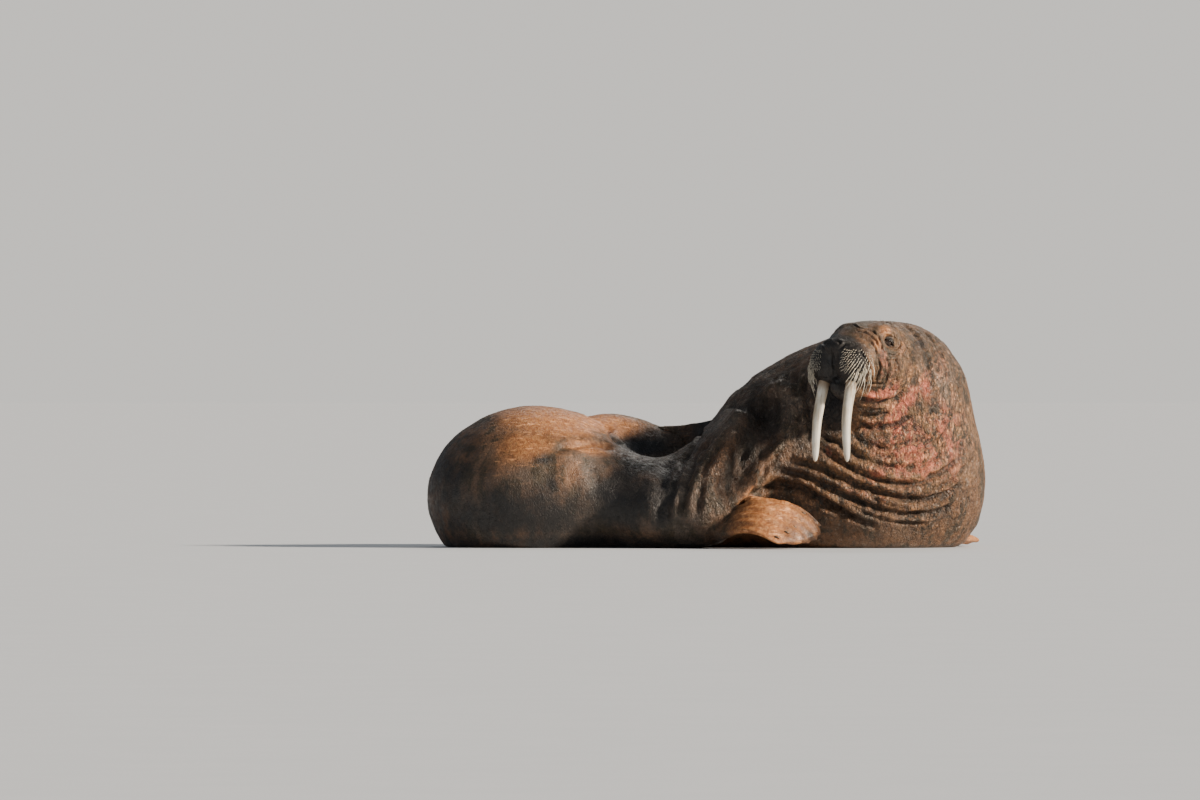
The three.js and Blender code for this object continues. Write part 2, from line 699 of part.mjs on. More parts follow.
const grownFront = solidOf(grown(skins.front, 0.4));
const grownHips = solidOf(grown(skins.hips, 0.4));
const flippers = [
  {
    name: 'fore_flipper_right', size: FORE_FLIPPER, reach: foreReach, body: grownFront,
    frame: frameFrom([62, -330, 86], [0.92, -0.38, 0], [-0.3, -0.75, -0.6]), bend: bowed(90, 118),
    colour: COLOURS.flipper,
  },
  {
    name: 'fore_flipper_left', size: FORE_FLIPPER, reach: foreReach, body: grownFront,
    frame: frameFrom([1010, 150, 44], [0.12, 0.98, -0.06], [0.98, -0.12, -0.05]), bend: bowed(10, 12),
    colour: COLOURS.flipper,
  },
  {
    name: 'hind_flipper_left', size: HIND_FLIPPER, reach: hindReach, body: grownHips,
    frame: frameFrom([-128, FAR_ARM_Y - 58, 410], [0.99, -0.03, 0.02], [0, 0.1, -1]), bend: bowed(8, 0),
    colour: COLOURS.darkFlipper,
  },
  {
    name: 'hind_flipper_right', size: HIND_FLIPPER, reach: hindReach, body: grownHips,
    frame: frameFrom([-128, FAR_ARM_Y + 58, 388], [0.99, 0.06, -0.04], [0, -0.1, -1]), bend: bowed(-8, 0),
    colour: COLOURS.darkFlipper,
  },
];

for (const { name, size, reach, body, frame, bend, colour } of flippers) {
  const solid = claws(size, reach, bend)
    .reduce((sum, claw) => sum.add(placed(claw, frame)), placed(flipperSkin(size, reach, bend), frame));
  addNode(name, solid.subtract(body).intersect(aboveFloor), colour);
}

const tailLine = new THREE.LineCurve3(vector(...TAIL.from), vector(...TAIL.to));
const tailTaper = (t) => THREE.MathUtils.lerp(TAIL.rootRadius, TAIL.tipRadius, t);
const tailRadius = (t) => tailTaper(t) * Math.sqrt(1 - 0.8 * t ** 8);
addNode('tail', placed(horn(tailLine, tailRadius, 8, 10)).subtract(grownHips), COLOURS.darkFlipper);

// The origin is on the floor under the middle of the whole
const middle = new THREE.Box3().setFromObject(group).getCenter(vector(0, 0, 0));
for (const node of group.children) node.geometry.translate(-middle.x, -middle.y, 0);

export default group;
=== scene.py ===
import math
import random
from functools import partial
from itertools import product

import bmesh
import bpy
import numpy as np
from mathutils import Matrix, Vector, noise
from mathutils.bvhtree import BVHTree
from mathutils.geometry import barycentric_transform


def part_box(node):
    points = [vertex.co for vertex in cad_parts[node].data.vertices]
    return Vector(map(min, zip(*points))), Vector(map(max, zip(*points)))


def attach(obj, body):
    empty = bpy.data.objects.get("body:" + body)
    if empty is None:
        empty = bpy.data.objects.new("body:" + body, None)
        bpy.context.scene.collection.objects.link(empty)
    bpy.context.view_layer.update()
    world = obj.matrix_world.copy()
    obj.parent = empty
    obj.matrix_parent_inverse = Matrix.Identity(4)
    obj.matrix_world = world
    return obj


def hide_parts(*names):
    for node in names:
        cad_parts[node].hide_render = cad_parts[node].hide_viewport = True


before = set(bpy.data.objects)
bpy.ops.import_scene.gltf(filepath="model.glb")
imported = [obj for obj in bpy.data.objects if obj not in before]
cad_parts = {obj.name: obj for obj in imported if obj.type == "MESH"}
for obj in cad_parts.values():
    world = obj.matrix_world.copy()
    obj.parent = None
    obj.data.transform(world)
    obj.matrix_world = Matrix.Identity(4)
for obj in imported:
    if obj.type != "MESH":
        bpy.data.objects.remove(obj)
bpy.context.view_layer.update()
print("stage: frame loaded")

# The photo's scale. A point of the photo stands for a place across and up at the walrus. zeroAcross is its
# column at the body's own zero, before the part's origin was set.
photo = {
    "metresPerPixel": 0.0043, "zeroAcross": 707, "floorRow": 547, "width": 1200, "height": 800,
    "horizonRow": 345, "distance": 60.0, "sensor": 36.0,
}
# Places that the solids share, in metres and degrees
headPose = {"pitchUp": 8, "nose": (0.529, -0.470, 0.873)}
eyeAt = {
    "side": 0.120, "back": 0.224, "up": 0.038, "radius": 0.020, "facing": 32,
    "gap": 0.0002, "clearFrom": 0.8, "proud": 0.0012,
}
pad = {"at": (0.068, 0.076, -0.072), "half": (0.086, 0.074, 0.092)}
eyes = ((-1, "eye_right"), (1, "eye_left"))


def boxMiddle(node):
    low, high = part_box(node)
    return (low + high) / 2


def frameOf(x, y, z, origin):
    return Matrix([(x[n], y[n], z[n], origin[n]) for n in range(3)] + [(0, 0, 0, 1)])


def findHead():
    left, right = boxMiddle("eye_left"), boxMiddle("eye_right")
    across = (left - right).normalized()
    level = Vector((-across.y, across.x, 0)).normalized()
    pitch = math.radians(headPose["pitchUp"])
    back = level * math.cos(pitch) - Vector((0, 0, math.sin(pitch)))
    up = level * math.sin(pitch) + Vector((0, 0, math.cos(pitch)))
    return frameOf(across, back, up, (left + right) / 2 - back * eyeAt["back"] - up * eyeAt["up"])


headFrame = findHead()
headInverse = headFrame.inverted()
headTurn = headFrame.to_3x3()
originShift = headFrame.translation - Vector(headPose["nose"])
originShift.z = 0


def acrossOf(column):
    return (column - photo["zeroAcross"]) * photo["metresPerPixel"] + originShift.x


def heightOf(row):
    return (photo["floorRow"] - row) * photo["metresPerPixel"]


# Small helpers for meshes
def addObject(name, data):
    made = bpy.data.objects.new(name, data)
    bpy.context.scene.collection.objects.link(made)
    return made


def newPiece(name, bm):
    mesh = bpy.data.meshes.new(name)
    bm.to_mesh(mesh)
    bm.free()
    mesh.shade_smooth()
    return addObject(name, mesh)


def applyModifiers(piece):
    done = bpy.data.meshes.new_from_object(piece.evaluated_get(bpy.context.evaluated_depsgraph_get()))
    old = piece.data
    piece.modifiers.clear()
    piece.data = done
    bpy.data.meshes.remove(old)


def readAll(items, key, kind=float, width=3):
    flat = np.empty(len(items) * width, kind)
    items.foreach_get(key, flat)
    return flat.reshape(-1, width)


def pointsOf(mesh):
    return readAll(mesh.vertices, "co")


def setPoints(mesh, points):
    mesh.vertices.foreach_set("co", points.astype(np.float32).ravel())
    mesh.update()


def writeValues(mesh, name, kind, key, values):
    mesh.attributes.new(name, kind, "POINT").data.foreach_set(key, values.astype(np.float32).ravel())


def treeOf(mesh):
    return BVHTree.FromPolygons(pointsOf(mesh), [face.vertices[:] for face in mesh.polygons])


def nearest(tree, places):
    return np.array([tree.find_nearest(Vector(place))[0] for place in places])


def moved(points, matrix):
    m = np.array(matrix)
    return points @ m[:3, :3].T + m[:3, 3]


def toHead(points):
    return moved(points, headInverse)


# How far points lie from a centre, as shares of the given radii
def awayFrom(points, centre, radii=(1, 1, 1)):
    return np.linalg.norm((points - np.array(centre)) / np.array(radii), axis=1)


def ramp(value, low, high):
    t = np.clip((value - low) / (high - low), 0, 1)
    return t * t * (3 - 2 * t)


def hump(value, width):
    return np.exp(-(value / width) ** 2)


# Small helpers for materials
def addNode(tree, kind, inputs=None, **settings):
    node = tree.nodes.new(kind)
    for key, value in settings.items():
        setattr(node, key, value)
    for socket, value in (inputs or {}).items():
        if isinstance(value, bpy.types.NodeSocket):
            tree.links.new(value, node.inputs[socket])
        else:
            node.inputs[socket].default_value = value
    return node


def mix(tree, factor, a, b, blend="MIX"):
    a, b = ((*value, 1) if isinstance(value, tuple) else value for value in (a, b))
    inputs = {0: factor, 6: a, 7: b}
    return addNode(tree, "ShaderNodeMix", inputs, data_type="RGBA", blend_type=blend).outputs[2]


def math2(tree, operation, a, b, clamp=False):
    return addNode(tree, "ShaderNodeMath", {0: a, 1: b}, operation=operation, use_clamp=clamp).outputs[0]


def vectorMath(tree, operation, a, b):
    inputs = {0: a, "Scale" if operation == "SCALE" else 1: b}
    return addNode(tree, "ShaderNodeVectorMath", inputs, operation=operation).outputs[0]


def fit(tree, value, low, high, outLow=0.0, outHigh=1.0):
    inputs = {"Value": value, "From Min": low, "From Max": high, "To Min": outLow, "To Max": outHigh}
    return addNode(tree, "ShaderNodeMapRange", inputs, interpolation_type="SMOOTHSTEP").outputs["Result"]


def noiseOf(tree, vector, scale, detail=4.0, rough=0.55, output=0):
    inputs = {"Vector": vector, "Scale": scale, "Detail": detail, "Roughness": rough}
    return addNode(tree, "ShaderNodeTexNoise", inputs).outputs[output]


def stretch(tree, vector, scale, turn=(0, 0, 0)):
    inputs = {"Vector": vector, "Rotation": turn, "Scale": scale}
    return addNode(tree, "ShaderNodeMapping", inputs).outputs["Vector"]


def objectPoint(tree):
    return tree.nodes.new("ShaderNodeTexCoord").outputs["Object"]


def attributeOf(tree, name, output="Fac"):
    return addNode(tree, "ShaderNodeAttribute", attribute_name=name).outputs[output]


def greyOf(tree, tone):
    return addNode(tree, "ShaderNodeCombineColor", {0: tone, 1: tone, 2: tone}).outputs[0]


def bumpOf(tree, height, distance, strength, normal=None):
    inputs = {"Height": height, "Distance": distance, "Strength": strength}
    if normal:
        inputs["Normal"] = normal
    return addNode(tree, "ShaderNodeBump", inputs).outputs["Normal"]


# An input without a value is a vector, and an output named Color is a colour
def newGroup(name, inputs, outputs):
    group = bpy.data.node_groups.new(name, "ShaderNodeTree")
    for socket, value in inputs.items():
        kind = "NodeSocketVector" if value is None else "NodeSocketFloat"
        made = group.interface.new_socket(name=socket, in_out="INPUT", socket_type=kind)
        if value is not None:
            made.default_value = value
    for socket in outputs:
        kind = "NodeSocketColor" if socket == "Color" else "NodeSocketFloat"
        group.interface.new_socket(name=socket, in_out="OUTPUT", socket_type=kind)
    return group, group.nodes.new("NodeGroupInput").outputs, group.nodes.new("NodeGroupOutput").inputs


def useGroup(tree, group, inputs):
    return addNode(tree, "ShaderNodeGroup", inputs, node_tree=group).outputs


def newMaterial(name):
    material = bpy.data.materials.new(name)
    material.use_nodes = True
    return material, material.node_tree, material.node_tree.nodes["Principled BSDF"]


def linkShader(tree, shader, shade, rough, normal):
    for name, value in (("Base Color", shade), ("Roughness", rough), ("Normal", normal)):
        tree.links.new(value, shader.inputs[name])


# A material with its roughness and bump from noise: a scale with the low and high roughness, a scale with
# the bump's distance and strength, and the values that are the same all over
def noisyMaterial(name, shadeOf, rough, bump, fixed=None):
    material, tree, shader = newMaterial(name)
    for socket, value in (fixed or {}).items():
        shader.inputs[socket].default_value = value
    at = objectPoint(tree)
    roughness = fit(tree, noiseOf(tree, at, rough[0]), 0.3, 0.7, *rough[1:])
    normal = bumpOf(tree, noiseOf(tree, at, bump[0]), *bump[1:])
    linkShader(tree, shader, shadeOf(tree, at), roughness, normal)
    return material


# Whiskers and claws: a colour at the root and one at the tip, under flecks
def strandMaterial(name, root, tip, fleck, flecks, rough, bump):
    def shadeOf(tree, at):
        amount = fit(tree, noiseOf(tree, at, *flecks[:2]), *flecks[2:])
        return mix(tree, amount, mix(tree, attributeOf(tree, "along"), root, tip), fleck)
    return noisyMaterial(name, shadeOf, rough, bump)


# Camera, floor and lights. The camera sees the studio's back in the floor's own tone.
lamps = {
    "key": {"at": (7.4, -2.5, 3.7), "aim": (0.3, 0, 0.4), "spread": 7, "power": 8.5,
            "color": (1.0, 0.88, 0.74)},
    "fill": {"at": (-3.5, -6.0, 3.0), "aim": (0, 0, 0.4), "spread": 60, "power": 0.28,
             "color": (0.86, 0.93, 1.0)},
    "rim": {"at": (1.0, 5.0, 4.2), "aim": (0, 0, 0.5), "spread": 25, "power": 0.70,
            "color": (1.0, 0.93, 0.84)},
}
sky = {"light": (0.70, 0.80, 0.92), "seen": (3.71, 3.57, 3.35), "strength": 0.22}
ground = {"size": 150, "below": 0.0005, "dark": (0.56, 0.59, 0.62), "pale": (0.62, 0.64, 0.67), "rough": 0.85}


def buildCamera():
    camera = addObject("camera", bpy.data.cameras.new("camera"))
    bpy.context.scene.camera = camera
    middle = Vector((acrossOf(photo["width"] / 2), 0, heightOf(photo["height"] / 2)))
    camera.location = (middle.x, middle.y - photo["distance"], heightOf(photo["horizonRow"]))
    camera.rotation_euler = (middle - camera.location).to_track_quat("-Z", "Y").to_euler()
    camera.data.sensor_width = photo["sensor"]
    camera.data.lens = photo["sensor"] * photo["distance"] / (photo["width"] * photo["metresPerPixel"])
    camera.data.clip_end = 400


def buildFloor():
    bm = bmesh.new()
    bmesh.ops.create_grid(bm, x_segments=1, y_segments=1, size=ground["size"])
    floor = newPiece("floor", bm)
    floor.location = (0, 0, -ground["below"])
    material, tree, shader = newMaterial("pale_floor")
    shade = mix(tree, noiseOf(tree, objectPoint(tree), 3.0, 6.0), ground["dark"], ground["pale"])
    tree.links.new(shade, shader.inputs["Base Color"])
    shader.inputs["Roughness"].default_value = ground["rough"]
    floor.data.materials.append(material)


def buildLights():
    world = bpy.data.worlds.new("studio")
    bpy.context.scene.world = world
    world.use_nodes = True
    back = world.node_tree.nodes["Background"]
    seen = world.node_tree.nodes.new("ShaderNodeLightPath").outputs["Is Camera Ray"]
    world.node_tree.links.new(mix(world.node_tree, seen, sky["light"], sky["seen"]), back.inputs["Color"])
    back.inputs["Strength"].default_value = sky["strength"]
    for name, lamp in lamps.items():
        data = bpy.data.lights.new(name, "SUN")
        data.angle = math.radians(lamp["spread"])
        data.energy = lamp["power"]
        data.color = lamp["color"]
        light = addObject(name, data)
        light.location = lamp["at"]
        light.rotation_euler = (Vector(lamp["aim"]) - light.location).to_track_quat("-Z", "Y").to_euler()


buildCamera()
buildFloor()
buildLights()
print("stage: camera, floor and lights")

# The head's round forms in its own frame: +X left, +Y back from the nose, +Z up. Each has its centre, its
# radii and how softly it joins the ones before it.
headForms = {
    "crown": ((0, 0.300, 0.022), (0.158, 0.200, 0.118), 0),
    "snout": ((0, 0.162, 0), (0.116, 0.128, 0.094), 0.060),
    "cheek": ((0.092, 0.250, -0.055), (0.086, 0.150, 0.120), 0.060),
    "throat": ((0, 0.262, -0.150), (0.120, 0.165, 0.112), 0.060),
    "brow": ((0.092, 0.212, 0.084), (0.040, 0.046, 0.030), 0.036),
    "nose": ((0, 0.060, -0.012), (0.086, 0.066, 0.046), 0.034),
    "socket": ((eyeAt["side"] + 0.026, eyeAt["back"] - 0.008, eyeAt["up"] - 0.002),
               (0.026, 0.046, 0.036), 0.020),
    "pad": (pad["at"], pad["half"], 0.022),
    "chin": ((0, 0.118, -0.172), (0.044, 0.092, 0.056), 0.012),
    "jaw": ((0, 0.210, -0.176), (0.092, 0.110, 0.062), 0.030),
}


def ellipsoid(p, centre, radii):
    q = (p - np.array(centre)) / np.array(radii)
    scaled = np.linalg.norm(q, axis=1)
    return scaled * (scaled - 1) / np.linalg.norm(q / np.array(radii), axis=1).clip(1e-9)


def softMin(a, b, width):
    near = np.clip(width - np.abs(a - b), 0, None) / width
    return np.minimum(a, b) - near * near * width / 4


def headField(p):
    half = p.copy()
    half[:, 0] = np.abs(half[:, 0])
    form = {name: ellipsoid(half, centre, radii) for name, (centre, radii, _) in headForms.items()}
    soft = {name: values[2] for name, values in headForms.items()}
    d = form["crown"]
    for name in ("snout", "cheek", "throat", "brow", "nose"):
        d = softMin(d, form[name], soft[name])
    d = -softMin(-d, form["socket"], soft["socket"])
    d = softMin(d, form["pad"], soft["pad"])
    return softMin(d, softMin(form["chin"], form["jaw"], soft["jaw"]), soft["chin"])


# Flippers, in their own frames: +Y along the flipper, +X across it, its back up
flipper = {
    "digits": 5, "across": 38, "along": 26, "scallop": 0.006, "ridge": 0.22, "thinning": 0.74,
    "tipStart": 0.88, "tipLength": 0.12,
}
flipperSizes = {
    "fore": {"length": 0.440, "rootHalf": 0.096, "tipHalf": 0.146, "thickness": 0.092},
    "hind": {"length": 0.462, "rootHalf": 0.110, "tipHalf": 0.182, "thickness": 0.060},
}
flippers = {
    "fore_flipper_right": {"kind": "fore", "root": (0.062, -0.330, 0.086), "along": (0.92, -0.38, 0),
                           "across": (-0.3, -0.75, -0.6), "rise": 0.090, "fall": 0.118, "sunk": 0.05,
                           "neck": 0.22},
    "fore_flipper_left": {"kind": "fore", "root": (1.010, 0.150, 0.044), "along": (0.12, 0.98, -0.06),
                          "across": (0.98, -0.12, -0.05), "rise": 0.010, "fall": 0.012, "sunk": 0.10,
                          "neck": 0},
    "hind_flipper_left": {"kind": "hind", "root": (-0.128, 0.510, 0.410), "along": (0.99, -0.03, 0.02),
                          "across": (0, 0.1, -1), "rise": 0.008, "fall": 0, "sunk": 0.08, "neck": 0},
    "hind_flipper_right": {"kind": "hind", "root": (-0.128, 0.626, 0.388), "along": (0.99, 0.06, -0.04),
                           "across": (0, -0.1, -1), "rise": -0.008, "fall": 0, "sunk": 0.08, "neck": 0},
}


def reachOf(kind, v):
    return 1 - 0.1 * (v + 1) - 0.1 * v * v if kind == "fore" else 0.86 + 0.2 * v * v


def flipperFrame(name):
    spec = flippers[name]
    y = Vector(spec["along"]).normalized()
    z = Vector(spec["across"]).cross(y).normalized()
    return frameOf(y.cross(z), y, z, Vector(spec["root"]) + originShift)


# A point of a flipper's surface, at t of its length and at a turn round it
def flipperPoint(name, t, turn):
    spec = flippers[name]
    size = flipperSizes[spec["kind"]]
    out = max(t, 0)
    v = math.cos(turn)
    half = size["rootHalf"] + (size["tipHalf"] - size["rootHalf"]) * out ** 1.15
    deep = size["thickness"] * (1 - flipper["thinning"] * out ** 0.8) / 2
    digit = -math.cos(math.pi * v * flipper["digits"])
    ridge = 1 + flipper["ridge"] * digit * min(1, out * 2)
    scallop = 1 + flipper["scallop"] * digit * out ** 3
    beyond = max(0.0, out - flipper["tipStart"]) / flipper["tipLength"]
    rounded = math.sqrt(max(0.0, 1 - beyond ** 2))
    half *= 1 - 0.16 * max(0.0, (out - 0.78) / 0.22) ** 2
    if spec["neck"] > 0:
        start = -spec["sunk"] / size["length"]
        half *= math.sqrt(max(0.04, 1 - max(0.0, (spec["neck"] - t) / (spec["neck"] - start)) ** 2))
    y = size["length"] * t * (1 + (reachOf(spec["kind"], v) - 1) * out) * scallop
    edge = abs(math.sin(turn)) ** 0.75 * rounded
    z = math.copysign(deep * edge * ridge, math.sin(turn))
    bow = min(1, max(0, y / size["length"]))
    z += spec["rise"] * math.sin(math.pi * bow) - spec["fall"] * bow * bow
    return flipperFrame(name) @ Vector((v * half, y, z))


# Extrudes a row of edges, and gives the new edges and the new vertices
def extrude(bm, edges):
    made = bmesh.ops.extrude_edge_only(bm, edges=edges)["geom"]
    kinds = (bmesh.types.BMEdge, bmesh.types.BMVert)
    return [[item for item in made if isinstance(item, kind)] for kind in kinds]


# Carries a ring of vertices along a form. place() says where each goes, by its step and its turn.
def sweepRing(bm, sides, steps, place, capped):
    bmesh.ops.create_circle(bm, segments=sides, radius=1, cap_ends=capped)
    ring, edges = list(bm.verts), list(bm.edges)
    for step in range(steps):
        if step:
            edges, fresh = extrude(bm, edges)
            ring = [next(e.other_vert(v) for e in v.link_edges if e.other_vert(v) in fresh) for v in ring]
        for index, vertex in enumerate(ring):
            vertex.co = place(step, 2 * math.pi * index / sides)
        if step == 0 and not capped:
            bmesh.ops.holes_fill(bm, edges=edges, sides=0)
    return ring, edges


def buildFlipper(name):
    low = -flippers[name]["sunk"] / flipperSizes[flippers[name]["kind"]]["length"]

    def place(step, turn):
        return flipperPoint(name, low + (1 - low) * step / flipper["along"], turn)

    bm = bmesh.new()
    ring, _ = sweepRing(bm, 2 * flipper["across"], flipper["along"] + 1, place, False)
    bmesh.ops.remove_doubles(bm, verts=ring, dist=1e-5)
    bmesh.ops.recalc_face_normals(bm, faces=bm.faces)
    return bm


# The skin: the flesh nodes in one, remeshed and evened out
skin = {
    "voxel": 0.0168, "push": 0.0006, "rounds": 22, "eyeBall": 0.026, "pull": 0.5, "letGo": -0.52,
    "joinRounds": 12, "joinReach": (0.6, 1.25),
}
fleshNodes = [
    "neck", "torso_front", "torso_middle", "torso_rear", "hindquarters", "head", "lower_jaw", "tail",
]


# Evens out a surface without shrinking it: each round pulls in and then pushes back out
def relax(mesh, points, rounds, weight=1.0):
    edges = readAll(mesh.edges, "vertices", np.int32, 2)
    count = len(points)
    degree = np.bincount(edges.ravel(), minlength=count)[:, None].clip(1)
    weight = np.broadcast_to(np.asarray(weight, float).reshape(-1, 1), (count, 1))
    for _ in range(rounds):
        for step in (skin["pull"], skin["letGo"]):
            total = np.zeros_like(points)
            for axis in range(3):
                total[:, axis] = np.bincount(edges[:, 0], points[edges[:, 1], axis], count)
                total[:, axis] += np.bincount(edges[:, 1], points[edges[:, 0], axis], count)
            points = points + (total / degree - points) * step * weight
    return points


def joinFlesh():
    bm = bmesh.new()
    for name in fleshNodes:
        part = bmesh.new()
        part.from_mesh(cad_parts[name].data)
        bmesh.ops.remove_doubles(part, verts=part.verts, dist=1e-5)
        part.normal_update()
        for vertex in part.verts:
            vertex.co += vertex.normal * skin["push"]
        mesh = bpy.data.meshes.new("part")
        part.to_mesh(mesh)
        part.free()
        bm.from_mesh(mesh)
        bpy.data.meshes.remove(mesh)
    for side, node in eyes:
        place = headFrame @ Matrix.Translation((side * pad["at"][0], *pad["at"][1:]))
        place = place @ Matrix.Diagonal((*pad["half"], 1))
        bmesh.ops.create_icosphere(bm, subdivisions=4, radius=1, matrix=place)
        place = Matrix.Translation(boxMiddle(node))
        bmesh.ops.create_icosphere(bm, subdivisions=3, radius=skin["eyeBall"], matrix=place)
    piece = newPiece("skin", bm)
    remesh = piece.modifiers.new("remesh", "REMESH")
    remesh.mode = "VOXEL"
    remesh.voxel_size = skin["voxel"]
    applyModifiers(piece)
    setPoints(piece.data, relax(piece.data, pointsOf(piece.data), skin["rounds"]))
    return piece


def addFlippers(piece):
    for name in flippers:
        limb = newPiece(name + "_form", buildFlipper(name))
        join = piece.modifiers.new("join", "BOOLEAN")
        join.operation = "UNION"
        join.solver = "MANIFOLD"
        join.object = limb
        applyModifiers(piece)
        bpy.data.objects.remove(limb)


# The joins leave the faces in no fixed order. Sorted, they give the same skin and coat in every run.
def sortFaces(piece):
    old = piece.data
    faces = []
    for face in old.polygons:
        ring = list(face.vertices)
        first = ring.index(min(ring))
        faces.append(ring[first:] + ring[:first])
    mesh = bpy.data.meshes.new("skin_sorted")
    mesh.from_pydata([vertex.co[:] for vertex in old.vertices], [], sorted(faces))
    piece.data = mesh
    bpy.data.meshes.remove(old)


# How far each point lies from the flippers' roots, to even out the joins
def nearRoots(points):
    reach = [(moved(points, flipperFrame(name).inverted()), flipperSizes[spec["kind"]]["rootHalf"])
             for name, spec in flippers.items()]
    return np.min([awayFrom(q, (0, 0, 0), (half * 1.25, 0.10, 0.085)) for q, half in reach], axis=0)


# Where the faces are split: twice in the face, once more round the eyes, and once on the chest, which lies
# before a leaning plane
zones = {
    "face": (0, 0.15, -0.05), "faceRadii": (0.20, 0.215, 0.235), "eyeReach": 0.046,
    "chestFrom": 0.13, "chestLean": 0.25, "chestLow": 0.04, "chestFar": 0.30,
}


def zoneLevel(p):
    local = headInverse @ p
    shares = ((x - at) / radius for x, at, radius in zip(local, zones["face"], zones["faceRadii"]))
    if sum(share ** 2 for share in shares) < 1:
        places = (Vector((side * eyeAt["side"], eyeAt["back"], eyeAt["up"])) for side in (-1, 1))
        return 3 if any((local - place).length < zones["eyeReach"] for place in places) else 2
    q = p - originShift
    before = q.x > zones["chestFrom"] + zones["chestLean"] * q.z
    return int(before and q.z > zones["chestLow"] and q.y < zones["chestFar"])


def refine(piece):
    bm = bmesh.new()
    bm.from_mesh(piece.data)
    for level in (1, 2, 3):
        bmesh.ops.triangulate(bm, faces=[face for face in bm.faces if len(face.verts) > 4])
        chosen = {face for face in bm.faces if zoneLevel(face.calc_center_median()) >= level}
        edges = [edge for edge in bm.edges if any(face in chosen for face in edge.link_faces)]
        bmesh.ops.subdivide_edges(bm, edges=edges, cuts=1, use_grid_fill=True)
        inner = [vertex for vertex in bm.verts if zoneLevel(vertex.co) >= level]
        bmesh.ops.smooth_vert(bm, verts=inner, factor=0.5, use_axis_x=True, use_axis_y=True, use_axis_z=True)
    bmesh.ops.triangulate(bm, faces=[face for face in bm.faces if len(face.verts) > 4])
    bm.to_mesh(piece.data)
    bm.free()


# Draws the head's own form on its points. Where the neck's flesh lies over it, nothing moves.
headReach = {
    "centre": (0, 0.15, -0.05), "radius": 0.42, "rounds": 5, "step": 1e-4,
    "off": (0.009, 0.020), "back": (0.27, 0.34), "up": (-0.26, -0.19),
}


def shapeHead(points):
    local = toHead(points)
    weight = 1 - ramp(np.abs(headField(local)), *headReach["off"])
    weight *= 1 - ramp(local[:, 1], *headReach["back"])
    weight *= ramp(local[:, 2], *headReach["up"])
    weight = weight[:, None]
    for _ in range(headReach["rounds"]):
        here = headField(local)
        slope = np.empty_like(local)
        for axis in range(3):
            ahead = local.copy()
            ahead[:, axis] += headReach["step"]
            slope[:, axis] = (headField(ahead) - here) / headReach["step"]
        size = (slope ** 2).sum(1).clip(0.05)
        local = local - weight * (here / size)[:, None] * slope
    return moved(local, headFrame)


body = joinFlesh()
print("stage: flesh remeshed,", len(body.data.polygons), "faces")
refine(body)
print("stage: head and chest refined,", len(body.data.polygons), "faces")
points = pointsOf(body.data)
inHead = awayFrom(toHead(points), headReach["centre"]) < headReach["radius"]
points[inHead] = shapeHead(points[inHead])
setPoints(body.data, points)
addFlippers(body)
sortFaces(body)
points = pointsOf(body.data)
weight = 1 - ramp(nearRoots(points), *skin["joinReach"])
setPoints(body.data, relax(body.data, points, skin["joinRounds"], weight))
print("stage: flippers joined,", len(body.data.polygons), "faces")


# Where the camera's ray through a point of the photo meets the skin
def onSkin(tree, column, row):
    eye = bpy.context.scene.camera.location
    target = Vector((acrossOf(column), 0, heightOf(row)))
    return tree.ray_cast(eye, (target - eye).normalized())[0]


def curveAt(knots, t):
    span = len(knots) - 1
    n = min(int(t * span), span - 1)
    u = t * span - n
    a, b = knots[n], knots[n + 1]
    before = knots[max(n - 1, 0)]
    after = knots[min(n + 2, span)]
    return 0.5 * (2 * a + (b - before) * u + (2 * before - 5 * a + 4 * b - after) * u * u
                  + (3 * a - 3 * b + after - before) * u ** 3)


def curveThrough(knots):
    steps = 8 * (len(knots) - 1)
    return [curveAt(knots, n / steps) for n in range(steps + 1)]


# Lays a line of the photo's points on the skin along the camera's rays
def layLine(tree, line):
    hits = [onSkin(tree, *place[:2]) for place in curveThrough([Vector((*place, 0)) for place in line])]
    return np.array([hit for hit in hits if hit is not None])


# The same for a line in the head's frame, brought on to the skin by the shortest way
def layHeadLine(tree, line, side):
    return nearest(tree, curveThrough([headFrame @ Vector((side * x, y, z)) for x, y, z in line]))


# Distance of each point from a line, and how far along the line it is nearest, from 0 to 1
def alongLine(points, line):
    lengths = np.linalg.norm(np.diff(line, axis=0), axis=1)
    starts = np.concatenate([[0], np.cumsum(lengths)])
    best = np.full(len(points), 9.0)
    place = np.zeros(len(points))
    for n, length in enumerate(lengths):
        if length < 1e-6:
            continue
        ahead = (line[n + 1] - line[n]) / length
        t = ((points - line[n]) @ ahead).clip(0, length)
        away = np.linalg.norm(points - line[n] - t[:, None] * ahead, axis=1)
        closer = away < best
        best[closer] = away[closer]
        place[closer] = starts[n] + t[closer]
    return best, place / starts[-1]


# How a fold strays from its line, in its own widths, and how uneven its depth is. Then the share of its length
# over which each end fades, and the height of the swelling beside it.
wander = {"rate": 24.0, "amount": 0.62, "uneven": 0.75, "width": 0.013, "fade": 0.15, "swelling": 0.42, "seed": 8}
noise.seed_set(wander["seed"])


# A fold's valley and the swelling beside it, fading out towards its ends
def foldRelief(points, line, depth, width):
    reach = 4 * width
    near = np.all((points > line.min(0) - reach) & (points < line.max(0) + reach), axis=1)
    relief = np.zeros(len(points))
    rate = wander["rate"] * (wander["width"] / width)
    shift = np.array([noise.noise_vector(Vector(place) * rate)[:] for place in points[near]]).reshape(-1, 3)
    away, place = alongLine(points[near] + shift * width * wander["amount"], line)
    fade = ramp(place, 0, wander["fade"]) * ramp(1 - place, 0, wander["fade"])
    strength = 1 + wander["uneven"] * shift[:, 1]
    bank = wander["swelling"] * hump(away - 2.0 * width, width)
    relief[near] = depth * fade * strength * (bank - hump(away, width))
    return relief


